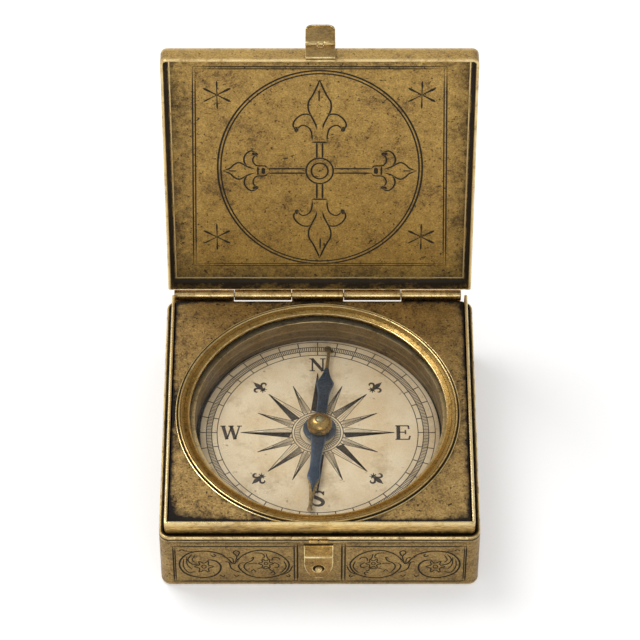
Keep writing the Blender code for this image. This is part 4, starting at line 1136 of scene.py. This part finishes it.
def blade():
    """The needle's blade: half widths follow a smooth outline along the needle, and across it the face
    is a low arch with thin edges."""
    knots = np.array([(18.6, 0.02), (18.4, 0.5), (17.2, 0.75), (15.6, 1.3), (13.9, 2.15), (12.6, 1.95),
                      (11.2, 1.6), (9.0, 1.35), (3.6, 1.35), (0, 1.6), (-3.6, 1.8), (-7.5, 1.4),
                      (-12.0, 1.25), (-14.9, 1.6), (-16.2, 1.0), (-17.2, 0.55), (-19.4, 0.02)])
    curve = spline(knots, 6)
    s = np.sin(np.linspace(-np.pi / 2, np.pi / 2, 15))
    y = curve[:, :1] + 0 * s[None]
    x = np.maximum(curve[:, 1:], 0.02) * s[None]
    arch = 0.18 * (1 - np.abs(s) ** 4)[None] + 0 * x
    top, low = 14.42 + arch, 14.38 - arch
    front = np.stack([x, y, top], -1)
    back = np.stack([x[:, ::-1], y[:, ::-1], low[:, ::-1]], -1)
    points = np.concatenate([front, back], 1)
    edge = np.clip((np.abs(s) - 0.8) * 5, 0, 1)
    return grid(points, np.concatenate([edge, edge])[None], 0.0, close_columns=True, first_cap=True,
                last_cap=True)


piece("needle_bar", [moved(blade(), turn_needle)], "needle", "blued_steel", BLUED_STEEL, "needle_blade")


def mirrored(right_side):
    """A closed outline from its right side, given from top to bottom."""
    right_side = np.asarray(right_side, float)
    return np.vstack([right_side, (right_side * (-1, 1))[::-1]])


north = mirrored([(0.3, 24.6), (0.4, 23.4), (0.42, 20.5), (0.5, 17.0)])
north_head = arc(-0.35, 24.9, 0.95, 0, 345, 24)
north_ear = arc(0.5, 24.3, 0.62, 0, 345, 20)
south = mirrored(np.vstack([[(1.5, -15.2), (1.4, -15.8), (0.95, -17.6), (0.66, -19.6), (0.5, -21.5),
                             (0.48, -23.6)], arc(0, -24.5, 0.72, 40, -84, 12)]))
north_parts = [slab(north, 13.83, 14.1, 0.08), slab(north_head, 13.8, 14.13, 0.1, grime_and_shade=0.5),
               slab(north_ear, 13.82, 14.11, 0.1, grime_and_shade=0.5)]
for name, parts in (("north", north_parts), ("south", [slab(south, 13.83, 14.1, 0.08)])):
    piece("needle_%s_stem" % name, [moved(part, turn_needle) for part in parts], "needle", "gilt_tip", GILT,
          "needle_%s_tip" % name)

hub_rows = [(0, 13.73, 0, 0.3), (3.9, 13.73, 0, 0.3), (4, 13.8, 0.3, 0), (4, 14.02, 0.6, 0),
            (3.9, 14.1, 0.6, 0), (0, 14.1, 0, 0)]
piece("needle_disc", [turned(hub_rows, 72, closed=False)], "needle", "blued_steel", BLUED_STEEL, "needle_hub")
cap_rows = [(0, 14.12, 0, 0), (1.4, 14.12, 0, 0.6), (1.4, 14.7, 0, 0.7), (2, 14.82, 0, 0.3),
            (2.85, 14.85, 0.3, 0.3), (2.97, 14.93, 0.8, 0), (3, 15.1, 0.4, 0), (3, 15.4, 0, 0.1),
            (2.93, 15.5, 0, 0.9), (2.99, 15.6, 0.7, 0), (2.98, 15.9, 0.1, 0), (2.88, 16.4, 0, 0),
            (2.66, 16.85, 0, 0), (2.34, 17.22, 0, 0), (1.95, 17.5, 0, 0), (1.55, 17.7, 0, 0),
            (1.27, 17.8, 0.1, 0), (1.16, 17.8, 0, 0.8), (1.08, 17.84, 0.4, 0.3), (1, 17.84, 0.5, 0.2),
            (0.95, 17.7, 0, 1), (0, 17.5, 0, 1)]
piece("needle_boss", [turned(cap_rows, 60, closed=False)], "needle", "ring_brass", RING_BRASS, "needle_cap")
dome = [(0, 17.2, 0, 0), (0.85, 17.2, 0, 0)] + [(x, y, 0, 0) for x, y in arc(0, 17.6, 0.93, 0, 90, 8, 0.28)]
piece("agate", [turned(dome, 40, closed=False)], "needle", "jewel_stone", JEWEL, "cap_jewel")


# ---------------------------------------------------------------- studio

def make_floor():
    """A wide level floor whose own pale tone shows to the camera and in reflections, and which still
    takes the object's shadow."""
    mesh = bpy.data.meshes.new("floor")
    reach = 3.0
    corners = [(-reach, -reach, 0), (reach, -reach, 0), (reach, reach, 0), (-reach, reach, 0)]
    mesh.from_pydata(corners, [], [(0, 1, 2, 3)])
    floor = bpy.data.objects.new("floor", mesh)
    bpy.context.scene.collection.objects.link(floor)
    material, tree, shader, place = new_material("studio_floor")
    tree.nodes.remove(shader)
    matt = put(tree, "BsdfDiffuse", {"Color": (0.86, 0.86, 0.86, 1)}).outputs[0]
    path = put(tree, "LightPath").outputs
    seen = maths(tree, "ADD", maths(tree, "ADD", path["Is Camera Ray"], path["Is Glossy Ray"]),
                 path["Is Transmission Ray"])
    strength = maths(tree, "MULTIPLY", seen, 0.3)
    glow = put(tree, "Emission", {"Color": (1, 1, 1, 1), "Strength": strength}).outputs[0]
    both = put(tree, "AddShader", {0: matt, 1: glow}).outputs[0]
    tree.links.new(both, tree.nodes["Material Output"].inputs[0])
    mesh.materials.append(material)


def lamp(name, place, aim, size, power):
    """A soft square lamp at a place, facing an aim."""
    data = bpy.data.lights.new(name, "AREA")
    data.size, data.energy = size, power
    made = bpy.data.objects.new(name, data)
    bpy.context.scene.collection.objects.link(made)
    away = np.array(place) - np.array(aim)
    made.location = place
    tilt = math.acos(away[2] / np.linalg.norm(away))
    made.rotation_euler = (tilt, 0, math.atan2(away[1], away[0]) + math.pi / 2)


make_floor()
lamp("key_lamp", (-0.45, 0.35, 0.95), (0, 0, 0.03), 0.5, 4.8)
lamp("front_lamp", (0.1, -1.1, 0.75), (0, 0, 0.05), 0.7, 2.9)
world = bpy.data.worlds.new("studio")
bpy.context.scene.world = world
world.use_nodes = True
world.node_tree.nodes["Background"].inputs[0].default_value = (1, 1, 1, 1)
world.node_tree.nodes["Background"].inputs[1].default_value = 0.55

camera = bpy.data.objects.new("camera", bpy.data.cameras.new("camera"))
bpy.context.scene.collection.objects.link(camera)
camera.data.sensor_width = 36
camera.data.lens = 194.56
camera.data.clip_start = 0.01
camera.location = (0.00008, -0.5194, 0.6643)
camera.rotation_euler = (math.radians(40.41), 0, 0)
bpy.context.scene.camera = camera
bpy.context.scene.view_settings.view_transform = "Standard"
